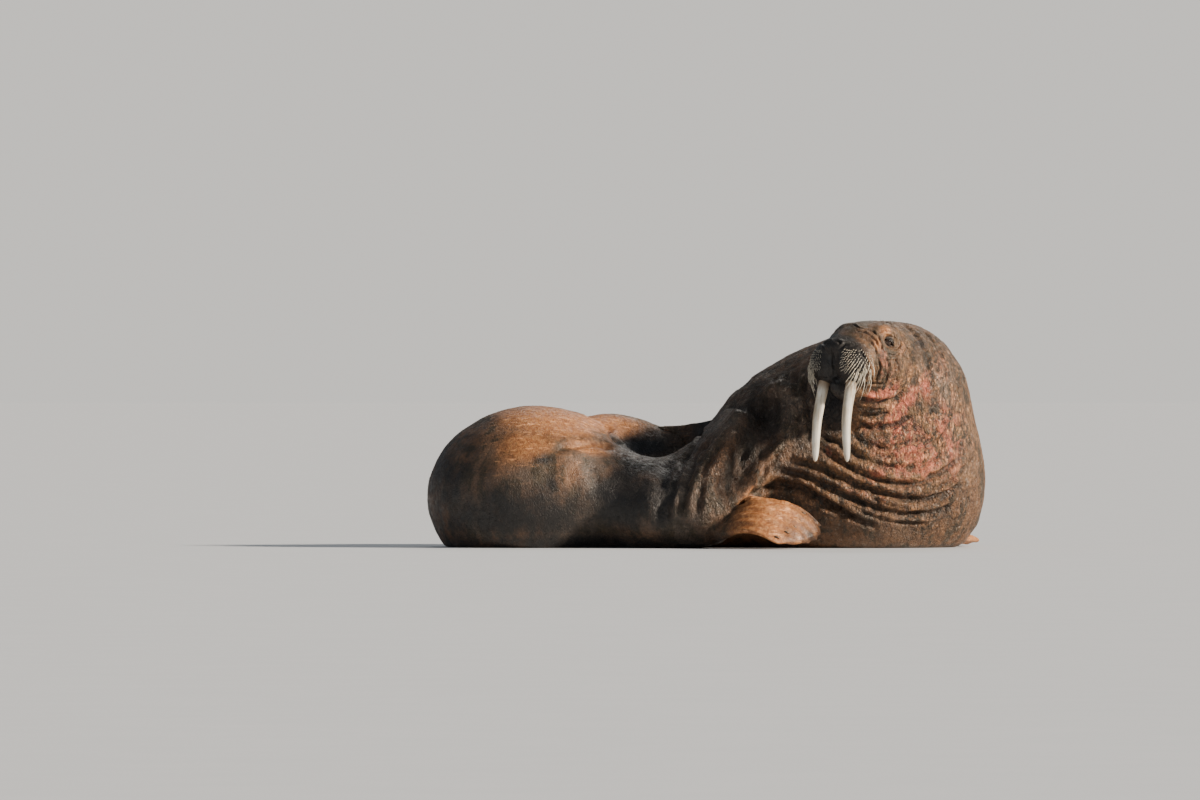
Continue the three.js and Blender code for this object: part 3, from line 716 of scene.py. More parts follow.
# Folds of the trunk, as lines over the photo, with the depth and half width of each in metres
folds = {
    "chest_first": (((819, 435), (842, 445), (870, 461), (904, 468), (935, 460)), 0.013, 0.013),
    "chest_second": (
        ((815, 444), (837, 459), (853, 470), (880, 480), (911, 484), (942, 472), (962, 456)), 0.018, 0.013),
    "chest_third": (
        ((782, 461), (814, 466), (847, 480), (879, 492), (915, 500), (946, 494), (968, 480)), 0.020, 0.014),
    "chest_fourth": (
        ((769, 471), (801, 475), (835, 491), (870, 506), (904, 514), (936, 512), (962, 502)), 0.018, 0.013),
    "chest_fine_first": (((862, 494), (886, 503), (910, 508), (938, 503), (958, 491)), 0.009, 0.008),
    "chest_fine_second": (((846, 503), (872, 515), (900, 523), (930, 522)), 0.009, 0.008),
    "chest_fine_third": (((880, 471), (902, 475), (926, 466), (946, 450)), 0.008, 0.008),
    "chest_fine_fourth": (((905, 444), (926, 438), (944, 422), (956, 402)), 0.008, 0.008),
    "chest_fine_fifth": (((930, 492), (950, 482), (966, 466), (978, 446)), 0.008, 0.009),
    "chest_fifth": (((742, 500), (769, 485), (796, 486), (819, 499), (842, 513), (862, 522)), 0.024, 0.016),
    "chest_low": (((800, 482), (830, 503), (858, 520), (880, 528)), 0.014, 0.011),
    "chest_right": (((862, 452), (900, 458), (930, 446), (950, 428)), 0.010, 0.011),
    "throat_top": (((856, 398), (872, 402), (890, 400), (904, 390)), 0.016, 0.013),
    "throat_second": (((854, 410), (870, 416), (892, 412)), 0.011, 0.010),
    "throat_third": (((858, 423), (874, 428), (896, 424), (912, 414)), 0.014, 0.012),
    "throat_fourth": (((853, 436), (872, 446), (892, 448), (915, 438)), 0.012, 0.012),
    "between_tusks": (((820, 432), (828, 440), (840, 442)), 0.010, 0.009),
    "armpit": (((748, 398), (766, 408), (762, 430), (748, 455), (732, 480), (722, 506)), 0.060, 0.048),
    "armpit_lip": (((800, 440), (778, 440), (764, 452), (746, 478), (734, 502)), 0.016, 0.017),
    "arm_inner": (((786, 452), (770, 462), (754, 484), (742, 506)), 0.014, 0.014),
    "shoulder_first": (((716, 440), (700, 452), (690, 474), (683, 500), (679, 522)), 0.015, 0.017),
    "shoulder_second": (((708, 420), (698, 440), (684, 462), (676, 486), (672, 512)), 0.012, 0.015),
    "shoulder_third": (((738, 432), (722, 446), (708, 470), (700, 496), (698, 520)), 0.012, 0.015),
    "shoulder_top": (((728, 404), (742, 412), (752, 424)), 0.014, 0.017),
    "neck_first": (((806, 374), (806, 400), (810, 426), (806, 446)), 0.010, 0.011),
    "neck_second": (((797, 368), (797, 396), (800, 424), (796, 444)), 0.009, 0.010),
    "neck_third": (((788, 368), (786, 396), (788, 424), (784, 442)), 0.009, 0.010),
    "neck_fourth": (((776, 376), (774, 400), (776, 424)), 0.009, 0.011),
    "nape_first": (((904, 324), (920, 342), (928, 366), (930, 392)), 0.010, 0.013),
    "nape_second": (((920, 328), (936, 346), (946, 372), (950, 400)), 0.008, 0.012),
    "nape_third": (((896, 330), (908, 348), (914, 370), (912, 388)), 0.010, 0.012),
    "flank_low": (((668, 462), (664, 484), (664, 510), (668, 530)), 0.013, 0.024),
    "hump_fold": (((548, 452), (572, 446), (596, 444), (614, 450)), 0.012, 0.022),
    "hump_line": (((560, 436), (585, 437), (604, 443), (612, 449)), 0.008, 0.018),
    "hip_crease": (((606, 424), (612, 436), (620, 446)), 0.020, 0.022),
    "belly_first": (((556, 456), (548, 470), (546, 490)), 0.003, 0.026),
    "belly_second": (((588, 462), (598, 484), (596, 510)), 0.004, 0.026),
}

# Lines of the face over the photo. Each is on both sides of the head.
faceDepth = 1.15
faceLines = {
    "brow_groove": (((852, 324), (862, 329), (872, 331), (878, 336)), 0.0066, 0.0045),
    "brow_second": (((855, 331), (866, 333), (874, 339), (878, 346)), 0.0064, 0.0045),
    "brow_third": (((862, 339), (870, 342), (875, 349), (876, 356)), 0.0036, 0.0045),
    "before_eye": (((877, 335), (881, 343), (882, 351)), 0.0050, 0.0045),
    "over_eye": (((878, 331), (887, 331), (895, 335), (901, 342)), 0.0034, 0.0045),
    "over_eye_second": (((882, 325), (892, 327), (900, 334)), 0.0040, 0.0048),
    "eye_bag": (((882, 351), (889, 355), (896, 355), (902, 350)), 0.0040, 0.0045),
    "eye_bag_second": (((884, 358), (891, 361), (899, 359)), 0.0034, 0.0045),
    "eye_corner": (((898, 347), (904, 351), (909, 358)), 0.0045, 0.0045),
    "eye_corner_second": (((899, 342), (906, 343), (912, 348)), 0.0040, 0.0045),
    "cheek_fold": (((877, 357), (880, 366), (878, 376), (874, 383)), 0.0060, 0.0055),
    "cheek_second": (((886, 357), (889, 368), (886, 380), (880, 390)), 0.0055, 0.0055),
    "cheek_third": (((895, 356), (898, 368), (896, 382), (890, 393)), 0.0060, 0.0060),
    "pad_back": (((858, 348), (866, 359), (870, 371), (870, 381)), 0.0065, 0.0060),
    "head_back": (((884, 321), (893, 327), (902, 336), (906, 346)), 0.0060, 0.0070),
}

# Lines of the muzzle in the head's own frame, on both sides
muzzleLines = {
    "nostril": (((0.014, 0.006, 0.012), (0.025, 0.010, 0.010), (0.033, 0.017, 0.000), (0.033, 0.020, -0.008)),
                0.0110, 0.0046),
    "cleft": (((0, 0.00, -0.010), (0, 0.010, -0.05), (0, 0.02, -0.10), (0, 0.05, -0.145)), 0.0090, 0.0060),
    "mouth": (((0.075, 0.130, -0.140), (0.105, 0.165, -0.136), (0.122, 0.205, -0.130)), 0.0085, 0.0055),
    "pad_top": (
        ((0.030, 0.022, -0.026), (0.070, 0.022, 0.008), (0.115, 0.062, 0.010), (0.150, 0.105, -0.030)),
        0.0048, 0.0060),
    "lip": (((0.004, 0.030, -0.150), (0.030, 0.020, -0.155), (0.060, 0.018, -0.158)), 0.0050, 0.0045),
}
# Which trunk folds the far side has too, the plane that mirrors them, and their share of the depth there
farFolds = {"names": ("chest", "throat", "nape", "neck"), "plane": 0.05, "share": 0.8}


def foldSkin(points):
    tree = treeOf(body.data)
    relief = np.zeros(len(points))
    for name, (line, depth, width) in folds.items():
        laid = layLine(tree, line)
        if len(laid) > 2:
            relief += foldRelief(points, laid, depth, width)
            if name.startswith(farFolds["names"]):
                laid[:, 1] = 2 * (farFolds["plane"] + originShift.y) - laid[:, 1]
                relief += foldRelief(points, nearest(tree, laid), depth, width) * farFolds["share"]
    for line, depth, width in faceLines.values():
        laid = layLine(tree, line)
        local = toHead(laid)
        local[:, 0] *= -1
        for path in (laid, nearest(tree, moved(local, headFrame))):
            relief += foldRelief(points, path, depth * faceDepth, width)
    for line, depth, width in muzzleLines.values():
        for side in (-1, 1) if line[0][0] else (-1,):
            relief += foldRelief(points, layHeadLine(tree, line, side), depth, width)
    return relief


# Soft masks: each spot is a column and row of the photo, its half sizes in pixels, a tilt and a strength
def spots(points, places):
    q = (points - np.array(originShift)) / photo["metresPerPixel"]
    column = q[:, 0] + photo["zeroAcross"]
    row = photo["floorRow"] - q[:, 2]
    total = np.zeros(len(points))
    for c, r, wide, tall, tilt, strength in places:
        turn = math.radians(tilt)
        along = (column - c) * math.cos(turn) + (row - r) * math.sin(turn)
        over = (row - r) * math.cos(turn) - (column - c) * math.sin(turn)
        total = np.maximum(total, strength * np.exp(-((along / wide) ** 2 + (over / tall) ** 2)))
    return total


# Middles of the face and the muzzle in the head's frame, and how much a point belongs to a form there
faceAt = (0, 0.12, -0.03)
muzzleAt = (0, 0.045, -0.075)


def belongs(points, centre, radii, low, high):
    return 1 - ramp(awayFrom(toHead(points), centre, radii), low, high)


# Wrinkles and lumps from noise: where they are, and the height of each kind in metres
wrinkled = {
    "spots": (
        (890, 430, 75, 90, 0, 1.0), (800, 420, 60, 70, 0, 0.9), (850, 500, 100, 40, 0, 0.9),
        (715, 460, 60, 70, 0, 0.8), (940, 400, 50, 100, 0, 0.9), (760, 400, 60, 50, 0, 0.8),
        (930, 500, 60, 44, 0, 1.0),
    ),
    "lump": 0.0070, "crease": 0.0070, "ripple": 0.0020, "broad": 0.0055, "faceGrain": 0.0009, "warp": 0.035,
    "deep": 0.0085, "fromFloor": 0.03,
}


def noiseRelief(points):
    wrinkle = spots(points, wrinkled["spots"])
    face = belongs(points, faceAt, (0.19, 0.21, 0.22), 0.85, 1.1)
    relief = np.empty(len(points))
    for n, (point, w, f) in enumerate(zip(points, wrinkle * (1 - face), face)):
        p = Vector(point)
        warp = Vector((noise.noise(p * 4.1), noise.noise(p * 4.1 + Vector((7, 3, 1))), 0))
        q = p + warp * wrinkled["warp"]
        line = abs(noise.noise(Vector((q.x * 13, q.y * 13, q.z * 6.0))))
        cross = abs(noise.noise(Vector((q.x * 9 + 5, q.y * 9, q.z * 15))))
        crease = math.exp(-(line / 0.085) ** 2) * 0.75 + math.exp(-(cross / 0.075) ** 2) * 0.5
        lump = noise.noise(p * 9.0) * wrinkled["lump"] * w
        broad = noise.noise(p * 3.2) * wrinkled["broad"] + noise.noise(p * 7.0) * wrinkled["ripple"]
        grain = noise.noise(p * 38) * wrinkled["faceGrain"] * f
        relief[n] = lump - crease * wrinkled["crease"] * w + broad * (1 - f) + grain
    return relief


# Eyelids: the skin is drawn over the ball and parts in a narrow slanting slit
lids = {
    "tilt": 30, "halfLength": 0.0250, "halfHeight": 0.0080, "above": 0.8, "below": 1.1, "over": 0.0036,
    "blend": (0.012, 0.030), "room": 0.045, "behind": 0.004, "clear": 0.0030,
}
# Lines along the slit: the side of it, distance from its edge, half width, height and half length
lidLines = (
    (0, 0.0022, 0.0017, 0.0016, 0.029),
    (1, 0.0078, 0.0020, -0.0024, 0.027),
    (-1, 0.0088, 0.0022, -0.0016, 0.025),
)


# Which way an eye looks, in the head's frame
def gazeOf(side):
    facing = math.radians(eyeAt["facing"])
    return Vector((side * math.cos(facing), -math.sin(facing), 0))


# In each eye's own frame: a along the slit, b up across it and n outwards
def shapeLids(points):
    tilt = math.radians(lids["tilt"])
    for side, node in eyes:
        centre = np.array(boxMiddle(node))
        out = gazeOf(side)
        level = Vector((-side * out.y, side * out.x, 0))
        slit = level * math.cos(tilt) - Vector((0, 0, math.sin(tilt)))
        up = level * math.sin(tilt) + Vector((0, 0, math.cos(tilt)))
        axes = np.array([headTurn @ slit, headTurn @ up, headTurn @ out])
        q = (points - centre) @ axes.T
        away = np.hypot(q[:, 0], q[:, 1])
        near = (away < lids["room"]) & (q[:, 2] > -lids["behind"])
        a, b, n = q[near].T
        r = away[near]
        over = eyeAt["radius"] + lids["over"]
        dome = np.sqrt(np.clip(over ** 2 - r ** 2, 0, None))
        n = n + (dome - n) * ((1 - ramp(r, *lids["blend"])) * (r < over))
        half = lids["halfHeight"] * np.clip(1 - (a / lids["halfLength"]) ** 2, 0, 1)
        half = half * np.where(b > 0, lids["above"], lids["below"])
        edge = np.abs(b) - half
        for way, distance, width, height, reach in lidLines:
            n = n + height * hump(edge - distance, width) * (way * b >= 0) * (np.abs(a) < reach)
        sunk = np.sqrt(np.clip((eyeAt["radius"] - lids["clear"]) ** 2 - a ** 2 - b ** 2, 0, None))
        q[near, 2] = np.where((half > 0.0004) & (edge < 0), np.minimum(n, sunk), n)
        points[near] = centre + q[near] @ axes
    return points


points = pointsOf(body.data)
relief = foldSkin(points) + noiseRelief(points)
relief *= ramp(points[:, 2], 0.0, wrinkled["fromFloor"])
points = shapeLids(points + readAll(body.data.vertices, "normal") * relief[:, None])
points[:, 2] = np.maximum(points[:, 2], 0.0)
setPoints(body.data, points)
print("stage: folds, wrinkles and eyelids")

# Where the hide is tan, pink, dark or pale, where it is wrinkled and where the sun falls on it, as soft spots
# over the photo. Some lists hold painted light: painted sunlight in the tan, pale and sunlit spots, painted shade
# in the dark spots.
markSpots = {
    # Partly the hide's own tan and partly painted sunlight: the hump's top, the hind ridge and the folds by the
    # eye are lighter where the sun falls. The spot at column 574, row 474 is painted sunlight in the lit strip
    # between the painted shadows on the hump.
    "tan": (
        (552, 421, 66, 20, 6, 1.0), (528, 444, 40, 22, -25, 0.8), (606, 424, 50, 14, 12, 0.95),
        (646, 428, 26, 9, 18, 0.5), (590, 447, 36, 9, 8, 0.9), (574, 474, 15, 20, 0, 0.55),
        (883, 331, 7, 6, 30, 1.0), (875, 344, 5, 9, -10, 0.85), (869, 368, 5, 10, -10, 0.6),
        (900, 348, 4, 11, 0, 0.7), (908, 370, 6, 14, 0, 0.5), (700, 430, 26, 12, -30, 0.25),
    ),
    "pink": (
        (884, 362, 9, 14, 0, 0.45), (903, 404, 36, 9, -50, 1.0), (884, 392, 18, 8, -30, 0.85),
        (924, 386, 6, 15, 0, 0.95), (905, 440, 34, 36, 0, 0.75), (925, 462, 36, 24, -20, 0.65),
        (890, 470, 34, 10, -12, 0.65), (870, 396, 13, 6, -20, 0.8), (832, 455, 13, 5, 45, 0.5),
        (944, 440, 16, 44, 0, 0.70), (880, 428, 22, 12, 0, 0.6), (866, 492, 46, 8, 14, 0.35),
        (938, 372, 12, 20, 0, 0.35),
    ),
    # Mostly painted shade: the shadow cast on the hump by the chest and head, the black hollow at the waist, the
    # armpit, under the throat between the tusks, the hump's shaded left side and a band along the floor. On the
    # face it is partly darker hide.
    "dark": (
        (832, 402, 20, 34, 0, 0.9), (622, 492, 50, 34, 0, 1.0), (520, 516, 110, 34, 0, 0.85),
        (446, 490, 32, 62, 0, 0.7), (745, 436, 20, 60, 28, 0.45), (790, 470, 50, 12, 14, 0.55),
        (660, 495, 22, 46, 0, 0.85), (870, 410, 14, 9, 0, 0.4), (646, 447, 27, 10, 0, 1.0),
        (840, 336, 20, 9, 0, 0.5), (545, 459, 12, 6, 0, 0.8), (552, 484, 9, 14, 0, 0.75),
        (592, 472, 8, 12, 20, 0.7), (698, 470, 26, 50, 18, 0.30), (918, 348, 12, 18, 0, 0.55),
        (850, 333, 26, 8, 12, 0.45), (860, 353, 8, 14, 0, 0.40), (624, 508, 46, 24, 0, 0.95),
        (640, 466, 30, 12, 10, 0.7), (560, 542, 150, 14, 0, 0.8),
    ),
    # The hide's pale scars, but the spot at column 574, row 478 is painted sunlight in the lit strip on the hump
    "pale": (
        (766, 373, 13, 7, -10, 0.6), (742, 380, 11, 6, 0, 0.4), (725, 420, 13, 12, 0, 0.65),
        (706, 505, 12, 15, 0, 0.5), (684, 486, 5, 28, 18, 0.8), (800, 362, 9, 5, 0, 0.5),
        (652, 470, 14, 5, 30, 0.7), (806, 445, 10, 5, 0, 0.5), (940, 385, 14, 26, 0, 0.4),
        (612, 450, 8, 4, 45, 0.8), (574, 478, 8, 14, 0, 0.35), (790, 400, 18, 26, 0, 0.35),
    ),
    # The sunlit side of the chest and the head, which the markings paint golden with peach highlights on its
    # nodules: painted sunlight
    "warm": ((910, 430, 75, 80, 0, 1.0), (860, 480, 70, 34, 0, 0.7), (900, 350, 30, 30, 0, 0.5)),
}


# How much each point belongs to a flipper
def flipperMask(points, kind, begins=(0, 0.16)):
    size = flipperSizes[kind]
    mask = np.zeros(len(points))
    for name, spec in flippers.items():
        if spec["kind"] != kind:
            continue
        q = moved(points, flipperFrame(name).inverted())
        bow = (q[:, 1] / size["length"]).clip(0, 1)
        middle = spec["rise"] * np.sin(math.pi * bow) - spec["fall"] * bow * bow
        along = ramp(q[:, 1], *begins) * (q[:, 1] < size["length"] * 1.2)
        beside = 1 - ramp(np.abs(q[:, 0]), size["tipHalf"] * 0.95, size["tipHalf"] * 1.15)
        over = 1 - ramp(np.abs(q[:, 2] - middle), size["thickness"] * 0.52, size["thickness"] * 0.85)
        mask = np.maximum(mask, along * beside * over)
    return mask


def hideMarks(points, hollow):
    mask = {name: spots(points, places) for name, places in markSpots.items()}
    muzzle = belongs(points, muzzleAt, (0.165, 0.135, 0.135), 0.80, 1.10)
    face = awayFrom(toHead(points), faceAt, (0.17, 0.19, 0.20))
    wrinkle = spots(points, wrinkled["spots"]) * (0.34 + 0.66 * ramp(face, 0.9, 1.25))
    fore, hind = flipperMask(points, "fore"), flipperMask(points, "hind")
    either = np.maximum(fore, hind)
    calm = 1 - either
    aroundEye = 1 - ramp(np.min([awayFrom(points, boxMiddle(node)) for _, node in eyes], axis=0), 0.018, 0.038)
    toes = flipperMask(points, "fore", (0.22, 0.42)) * 0.7
    # Dark hide on the muzzle, the hind flippers, the toes and round the eyes, with the dark spots, which are
    # mostly painted shade
    dark = np.max([mask["dark"] * calm, muzzle, hind, toes, aroundEye * 0.85], axis=0)
    tan = np.maximum(mask["tan"] * calm, fore)
    return {
        "marks_tan_pink_dark": np.stack([tan, mask["pink"] * calm * (1 - muzzle), dark], 1),
        "marks_pale_wrinkle_warm": np.stack([mask["pale"] * calm, wrinkle * calm, mask["warm"] * calm], 1),
        "marks_hollow_muzzle_flipper": np.stack([hollow, muzzle, either], 1),
    }


def writeMarks(mesh, marks):
    for name, values in marks.items():
        writeValues(mesh, name, "FLOAT_VECTOR", "vector", values)


# How deep each point lies in a fold, or how high on its swelling; the markings paint shade and highlights from it
hollow = np.clip(-relief / wrinkled["deep"], -1, 1) * (0.3 + 0.7 * spots(points, wrinkled["spots"]))
bodyMarks = hideMarks(points, hollow)
writeMarks(body.data, bodyMarks)


# A net of creases: 0 in each crease and 1 between them
def creaseGroup():
    inputs = {"Vector": None, "Scale": 30.0, "Warp": 0.02, "Width": 0.2}
    group, given, out = newGroup("creases", inputs, ["Ground", "Cell"])
    at = given["Vector"]

    def sway(scale, detail):
        return vectorMath(group, "ADD", noiseOf(group, at, scale, detail, 0.5, "Color"), (-0.5, -0.5, -0.5))

    shift = vectorMath(group, "ADD", sway(14.0, 3.0), vectorMath(group, "SCALE", sway(75.0, 4.0), 0.42))
    place = vectorMath(group, "ADD", at, vectorMath(group, "SCALE", shift, given["Warp"]))
    cells = {"Vector": place, "Scale": given["Scale"]}
    edge = addNode(group, "ShaderNodeTexVoronoi", cells, feature="DISTANCE_TO_EDGE").outputs["Distance"]
    shade = addNode(group, "ShaderNodeTexVoronoi", cells).outputs["Color"]
    group.links.new(fit(group, edge, 0.0, given["Width"]), out["Ground"])
    group.links.new(addNode(group, "ShaderNodeSeparateColor", {"Color": shade}).outputs[0], out["Cell"])
    return group


# The hide's colours. Crease is painted shade in the creases, gold and peach are painted sunlight on the lit side
# (peach is also the hide's pale scratches), and dark is dark hide and painted shade.
hideColours = {
    "grey": (0.098, 0.070, 0.050), "brown": (0.170, 0.080, 0.034), "tan": (0.40, 0.145, 0.042),
    "pink": (0.88, 0.220, 0.125), "dark": (0.010, 0.0085, 0.0075), "pale": (0.50, 0.39, 0.30),
    "crease": (0.016, 0.011, 0.008), "fleck": (0.085, 0.042, 0.022), "paleTan": (0.56, 0.27, 0.10),
    "olive": (0.050, 0.034, 0.016), "peach": (0.95, 0.46, 0.21), "gold": (0.32, 0.165, 0.058),
}


# Fine wandering wrinkles: 0 along each line and 1 away from it
def wrinkleLines(tree, vector, scale, width):
    level = math2(tree, "SUBTRACT", noiseOf(tree, vector, scale), 0.5)
    return fit(tree, math2(tree, "ABSOLUTE", level, 0.0), 0.0, width)


# The hide's colour from its marks, its creases and its flecks, for the skin and the coat alike. The creases and
# folds get painted shade and highlights, and some marks are painted sunlight and painted shade.
def markingsGroup(creases):
    group, given, out = newGroup("markings", {"Vector": None}, ["Color", "Height", "Wet"])
    times, plus, most = (partial(math2, group, name) for name in ("MULTIPLY", "ADD", "MAXIMUM"))
    flip = partial(math2, group, "SUBTRACT", 1.0)
    grains, span, blend = (partial(make, group) for make in (noiseOf, fit, mix))
    at = given["Vector"]
    masks = []
    for name in bodyMarks:
        vector = attributeOf(group, name, "Vector")
        masks += list(addNode(group, "ShaderNodeSeparateXYZ", {"Vector": vector}).outputs)
    tan, pink, dark, pale, wrinkle, warm, hollow, muzzle, _ = masks

    # The wrinkled places' share of a value, and a little of it everywhere
    def worn(rate, base=0.0):
        return plus(times(wrinkle, rate), base)

    # A sum of values with the share of each
    def total(first, *others):
        value = times(*first)
        for other in others:
            value = plus(value, times(*other))
        return value

    tall = stretch(group, at, (1.0, 1.0, 0.42))
    net = stretch(group, at, (1.0, 1.0, 0.75))
    middle = grains(at, 11.0, 6.0, 0.62)
    fine = grains(at, 60.0, 6.0, 0.65)
    streak = grains(tall, 34.0, 5.0, 0.6)
    grain = grains(tall, 82.0, 3.0, 0.55)
    scratch = grains(stretch(group, at, (0.22, 0.6, 1.0)), 75.0, 4.0, 0.6)
    large = useGroup(group, creases, {"Vector": net, "Scale": 28.0, "Warp": 0.055, "Width": 0.26})
    small = useGroup(group, creases, {"Vector": at, "Scale": 80.0, "Warp": 0.028, "Width": 0.30})
    lines = times(wrinkleLines(group, net, 30.0, 0.050), wrinkleLines(group, tall, 62.0, 0.060))
    ragged = times(plus(middle, -0.5), 1.1)
    pinkness = total((streak, 0.5), (large["Cell"], 0.2), (grain, 0.4), (pink, 0.30))
    noduleHighlight = times(span(grain, 0.51, 0.61, 0.0, 0.9), span(middle, 0.32, 0.54))
    scar = times(span(grains(at, 40.0, 7.0, 0.7), 0.575, 0.635), 0.75)
    # Painted shade in the crease net, the fine wrinkle lines and the folds' hollows
    gap = math2(group, "POWER", flip(large["Ground"]), 1.6)
    gap = times(gap, times(wrinkle, span(middle, 0.3, 0.6, 0.25, 0.85)))
    gap = most(gap, times(flip(small["Ground"]), worn(0.28, 0.04)))
    gap = most(gap, times(flip(lines), worn(0.52, 0.10)))
    gap = most(gap, times(hollow, 0.85), True)

    # Each layer lies over the ones before it: its amount and its colour
    hue = hideColours
    layers = (
        # Painted sunlight: a golden brown on the sunlit side
        (warm, blend(span(streak, 0.38, 0.62), hue["brown"], hue["gold"])),
        (span(grains(tall, 19.0, 5.0, 0.6), 0.46, 0.60, 0.0, 0.9), hue["olive"]),
        (times(span(plus(tan, ragged), 0.18, 0.72), tan, True),
         blend(span(fine, 0.42, 0.66, 0.0, 0.7), hue["tan"], hue["paleTan"])),
        (times(span(fine, 0.56, 0.68), 0.55), hue["fleck"]),
        (times(span(pinkness, 0.59, 0.80), pink, True), hue["pink"]),
        # Painted highlights: peach on the nodules of the sunlit side
        (times(noduleHighlight, times(warm, wrinkle), True), hue["peach"]),
        (times(span(middle, 0.44, 0.66), pale, True), hue["pale"]),
        (times(scar, wrinkle), hue["pale"]),
        (times(span(scratch, 0.56, 0.66, 0.0, 0.65), tan), hue["peach"]),
        (span(plus(dark, ragged), 0.10, 0.85, 0.0, 0.97), hue["dark"]),
        # Painted shade in the creases and the folds' hollows
        (gap, hue["crease"]),
    )
    shade = blend(span(grains(at, 2.6, 5.0), 0.35, 0.65), hue["grey"], hue["brown"])
    for amount, look in layers:
        shade = blend(amount, shade, look)
    # Random tone, times painted light from the folds: painted highlight on their swellings and painted shade in
    # their hollows
    tone = times(span(fine, 0.3, 0.7, 0.70, 1.24), span(hollow, -1.0, 0.1, 1.22, 0.94))
    shade = blend(1.0, shade, greyOf(group, tone), "MULTIPLY")

    ridges = ((large["Ground"], worn(0.8)), (small["Ground"], worn(0.16, 0.03)), (lines, worn(0.42, 0.12)))
    height = total(*ridges, (streak, worn(0.9)), (middle, 0.35))
    wet = times(most(muzzle, dark), span(middle, 0.3, 0.7, 0.5, 1.0), True)
    for name, value in (("Color", shade), ("Height", height), ("Wet", wet)):
        group.links.new(value, out[name])
    return group


def hideMaterial():
    material, tree, shader = newMaterial("hide")
    at = objectPoint(tree)
    look = useGroup(tree, markings, {"Vector": at})
    rough = fit(tree, noiseOf(tree, at, 45.0, 5.0), 0.3, 0.7, 0.44, 0.70)
    rough = math2(tree, "SUBTRACT", rough, math2(tree, "MULTIPLY", look["Wet"], 0.12))
    coarse = bumpOf(tree, look["Height"], 0.0070, 0.85)
    normal = bumpOf(tree, noiseOf(tree, at, 170.0, 5.0, 0.6), 0.0012, 0.55, coarse)
    linkShader(tree, shader, look["Color"], rough, normal)
    return material


markings = markingsGroup(creaseGroup())
body.data.materials.clear()
body.data.materials.append(hideMaterial())
print("stage: hide material")

body.data.shade_smooth()
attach(body, "root")
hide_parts(*fleshNodes, *flippers, "whisker_pad_left", "whisker_pad_right", "eyelids_left", "eyelids_right")
print("stage: skin shaped,", sum(len(p.vertices) - 2 for p in body.data.polygons), "triangles")


# One strand along +Z, one long and one wide, as the pattern for whiskers, hairs and claws
def strandPattern(sides, steps):
    bm = bmesh.new()
    bmesh.ops.create_circle(bm, segments=sides, radius=1, cap_ends=True)
    edges = list(bm.edges)
    for _ in range(steps):
        edges, ring = extrude(bm, edges)
        bmesh.ops.translate(bm, verts=ring, vec=(0, 0, 1 / steps))
    bmesh.ops.pointmerge(bm, verts=ring, merge_co=(0, 0, 1))
    bmesh.ops.recalc_face_normals(bm, faces=bm.faces)
    bm.verts.index_update()
    shape = np.array([vertex.co[:] for vertex in bm.verts])
    faces = [[vertex.index for vertex in face.verts] for face in bm.faces]
    bm.free()
    return shape, faces


# The side of each strand's own patch on the skin's flat map
bakePatch = 0.003


# Joined strands: each follows a bent line from its root by a middle point to its tip, and is
# thinner along its own given direction
def joinStrands(name, pattern, strands, flat=1.0, places=None):
    shape, faces = pattern
    t = shape[:, 2:3]
    points = []
    for root, middle, tip, width, taper, over in strands:
        centre = (1 - t) ** 2 * root + 2 * t * (1 - t) * middle + t * t * tip
        along = (tip - root) / np.linalg.norm(tip - root)
        across = np.cross(along, over)
        across /= np.linalg.norm(across)
        third = np.cross(along, across) * flat
        wide = width / 2 * (1 - taper * t ** 1.5)
        points.append(centre + (shape[:, :1] * across + shape[:, 1:2] * third) * wide)
    mesh = bpy.data.meshes.new(name)
    tiled = [[index + len(shape) * n for index in face] for n in range(len(strands)) for face in faces]
    mesh.from_pydata(np.concatenate(points), [], tiled)
    mesh.shade_smooth()
    writeValues(mesh, "along", "FLOAT", "value", np.tile(shape[:, 2], len(strands)))
    if places is not None:
        uv = mesh.uv_layers.new(name="OFBake")
        corners = np.array([(shape[index, 0], shape[index, 2] * 2 - 1) for face in faces for index in face])
        spread = places[:, None, :] + corners[None] * bakePatch / 2
        uv.data.foreach_set("uv", spread.reshape(-1).astype(np.float32))
    piece = addObject(name, mesh)
    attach(piece, "root")
    return piece


# A flat map of the skin's own shape. Whiskers and hairs take their place on it from their roots.
def flattenSkin():
    copy = addObject("map", body.data.copy())
    thin = copy.modifiers.new("thin", "DECIMATE")
    thin.ratio = 0.03
    applyModifiers(copy)
    bpy.context.view_layer.objects.active = copy
    copy.select_set(True)
    bpy.ops.object.mode_set(mode="EDIT")
    bpy.ops.mesh.select_all(action="SELECT")
    bpy.ops.uv.smart_project(angle_limit=math.radians(66), island_margin=0.01)
    bpy.ops.object.mode_set(mode="OBJECT")
    mesh = copy.data
    mesh.calc_loop_triangles()
    corners = [mesh.vertices[i].co.copy() for t in mesh.loop_triangles for i in t.vertices]
    uvs = [Vector((*mesh.uv_layers[0].data[i].uv, 0)) for t in mesh.loop_triangles for i in t.loops]
    tree = BVHTree.FromPolygons(corners, [(3 * n, 3 * n + 1, 3 * n + 2) for n in range(len(corners) // 3)])
    bpy.data.objects.remove(copy)
    return tree, corners, uvs


bodyTree = treeOf(body.data)
mapTree, mapCorners, mapUvs = flattenSkin()


def placesOf(roots):
    places = []
    for root in roots:
        near, _, index, _ = mapTree.find_nearest(Vector(root))
        own = slice(3 * index, 3 * index + 3)
        places.append(barycentric_transform(near, *mapCorners[own], *mapUvs[own])[:2])
    return np.array(places)


def between(ends, t):
    return ends[0] + (ends[1] - ends[0]) * t


# Tusks: their line in the head's frame from inside the lip to the tip, the second point at the lip
tusk = {
    "line": ((0.068, 0.076, -0.088), (0.074, 0.062, -0.150), (0.080, 0.042, -0.324), (0.088, 0.062, -0.498)),
    "radius": 0.028, "taper": 0.44, "steps": 46, "sides": 40, "stain": 0.055,
}
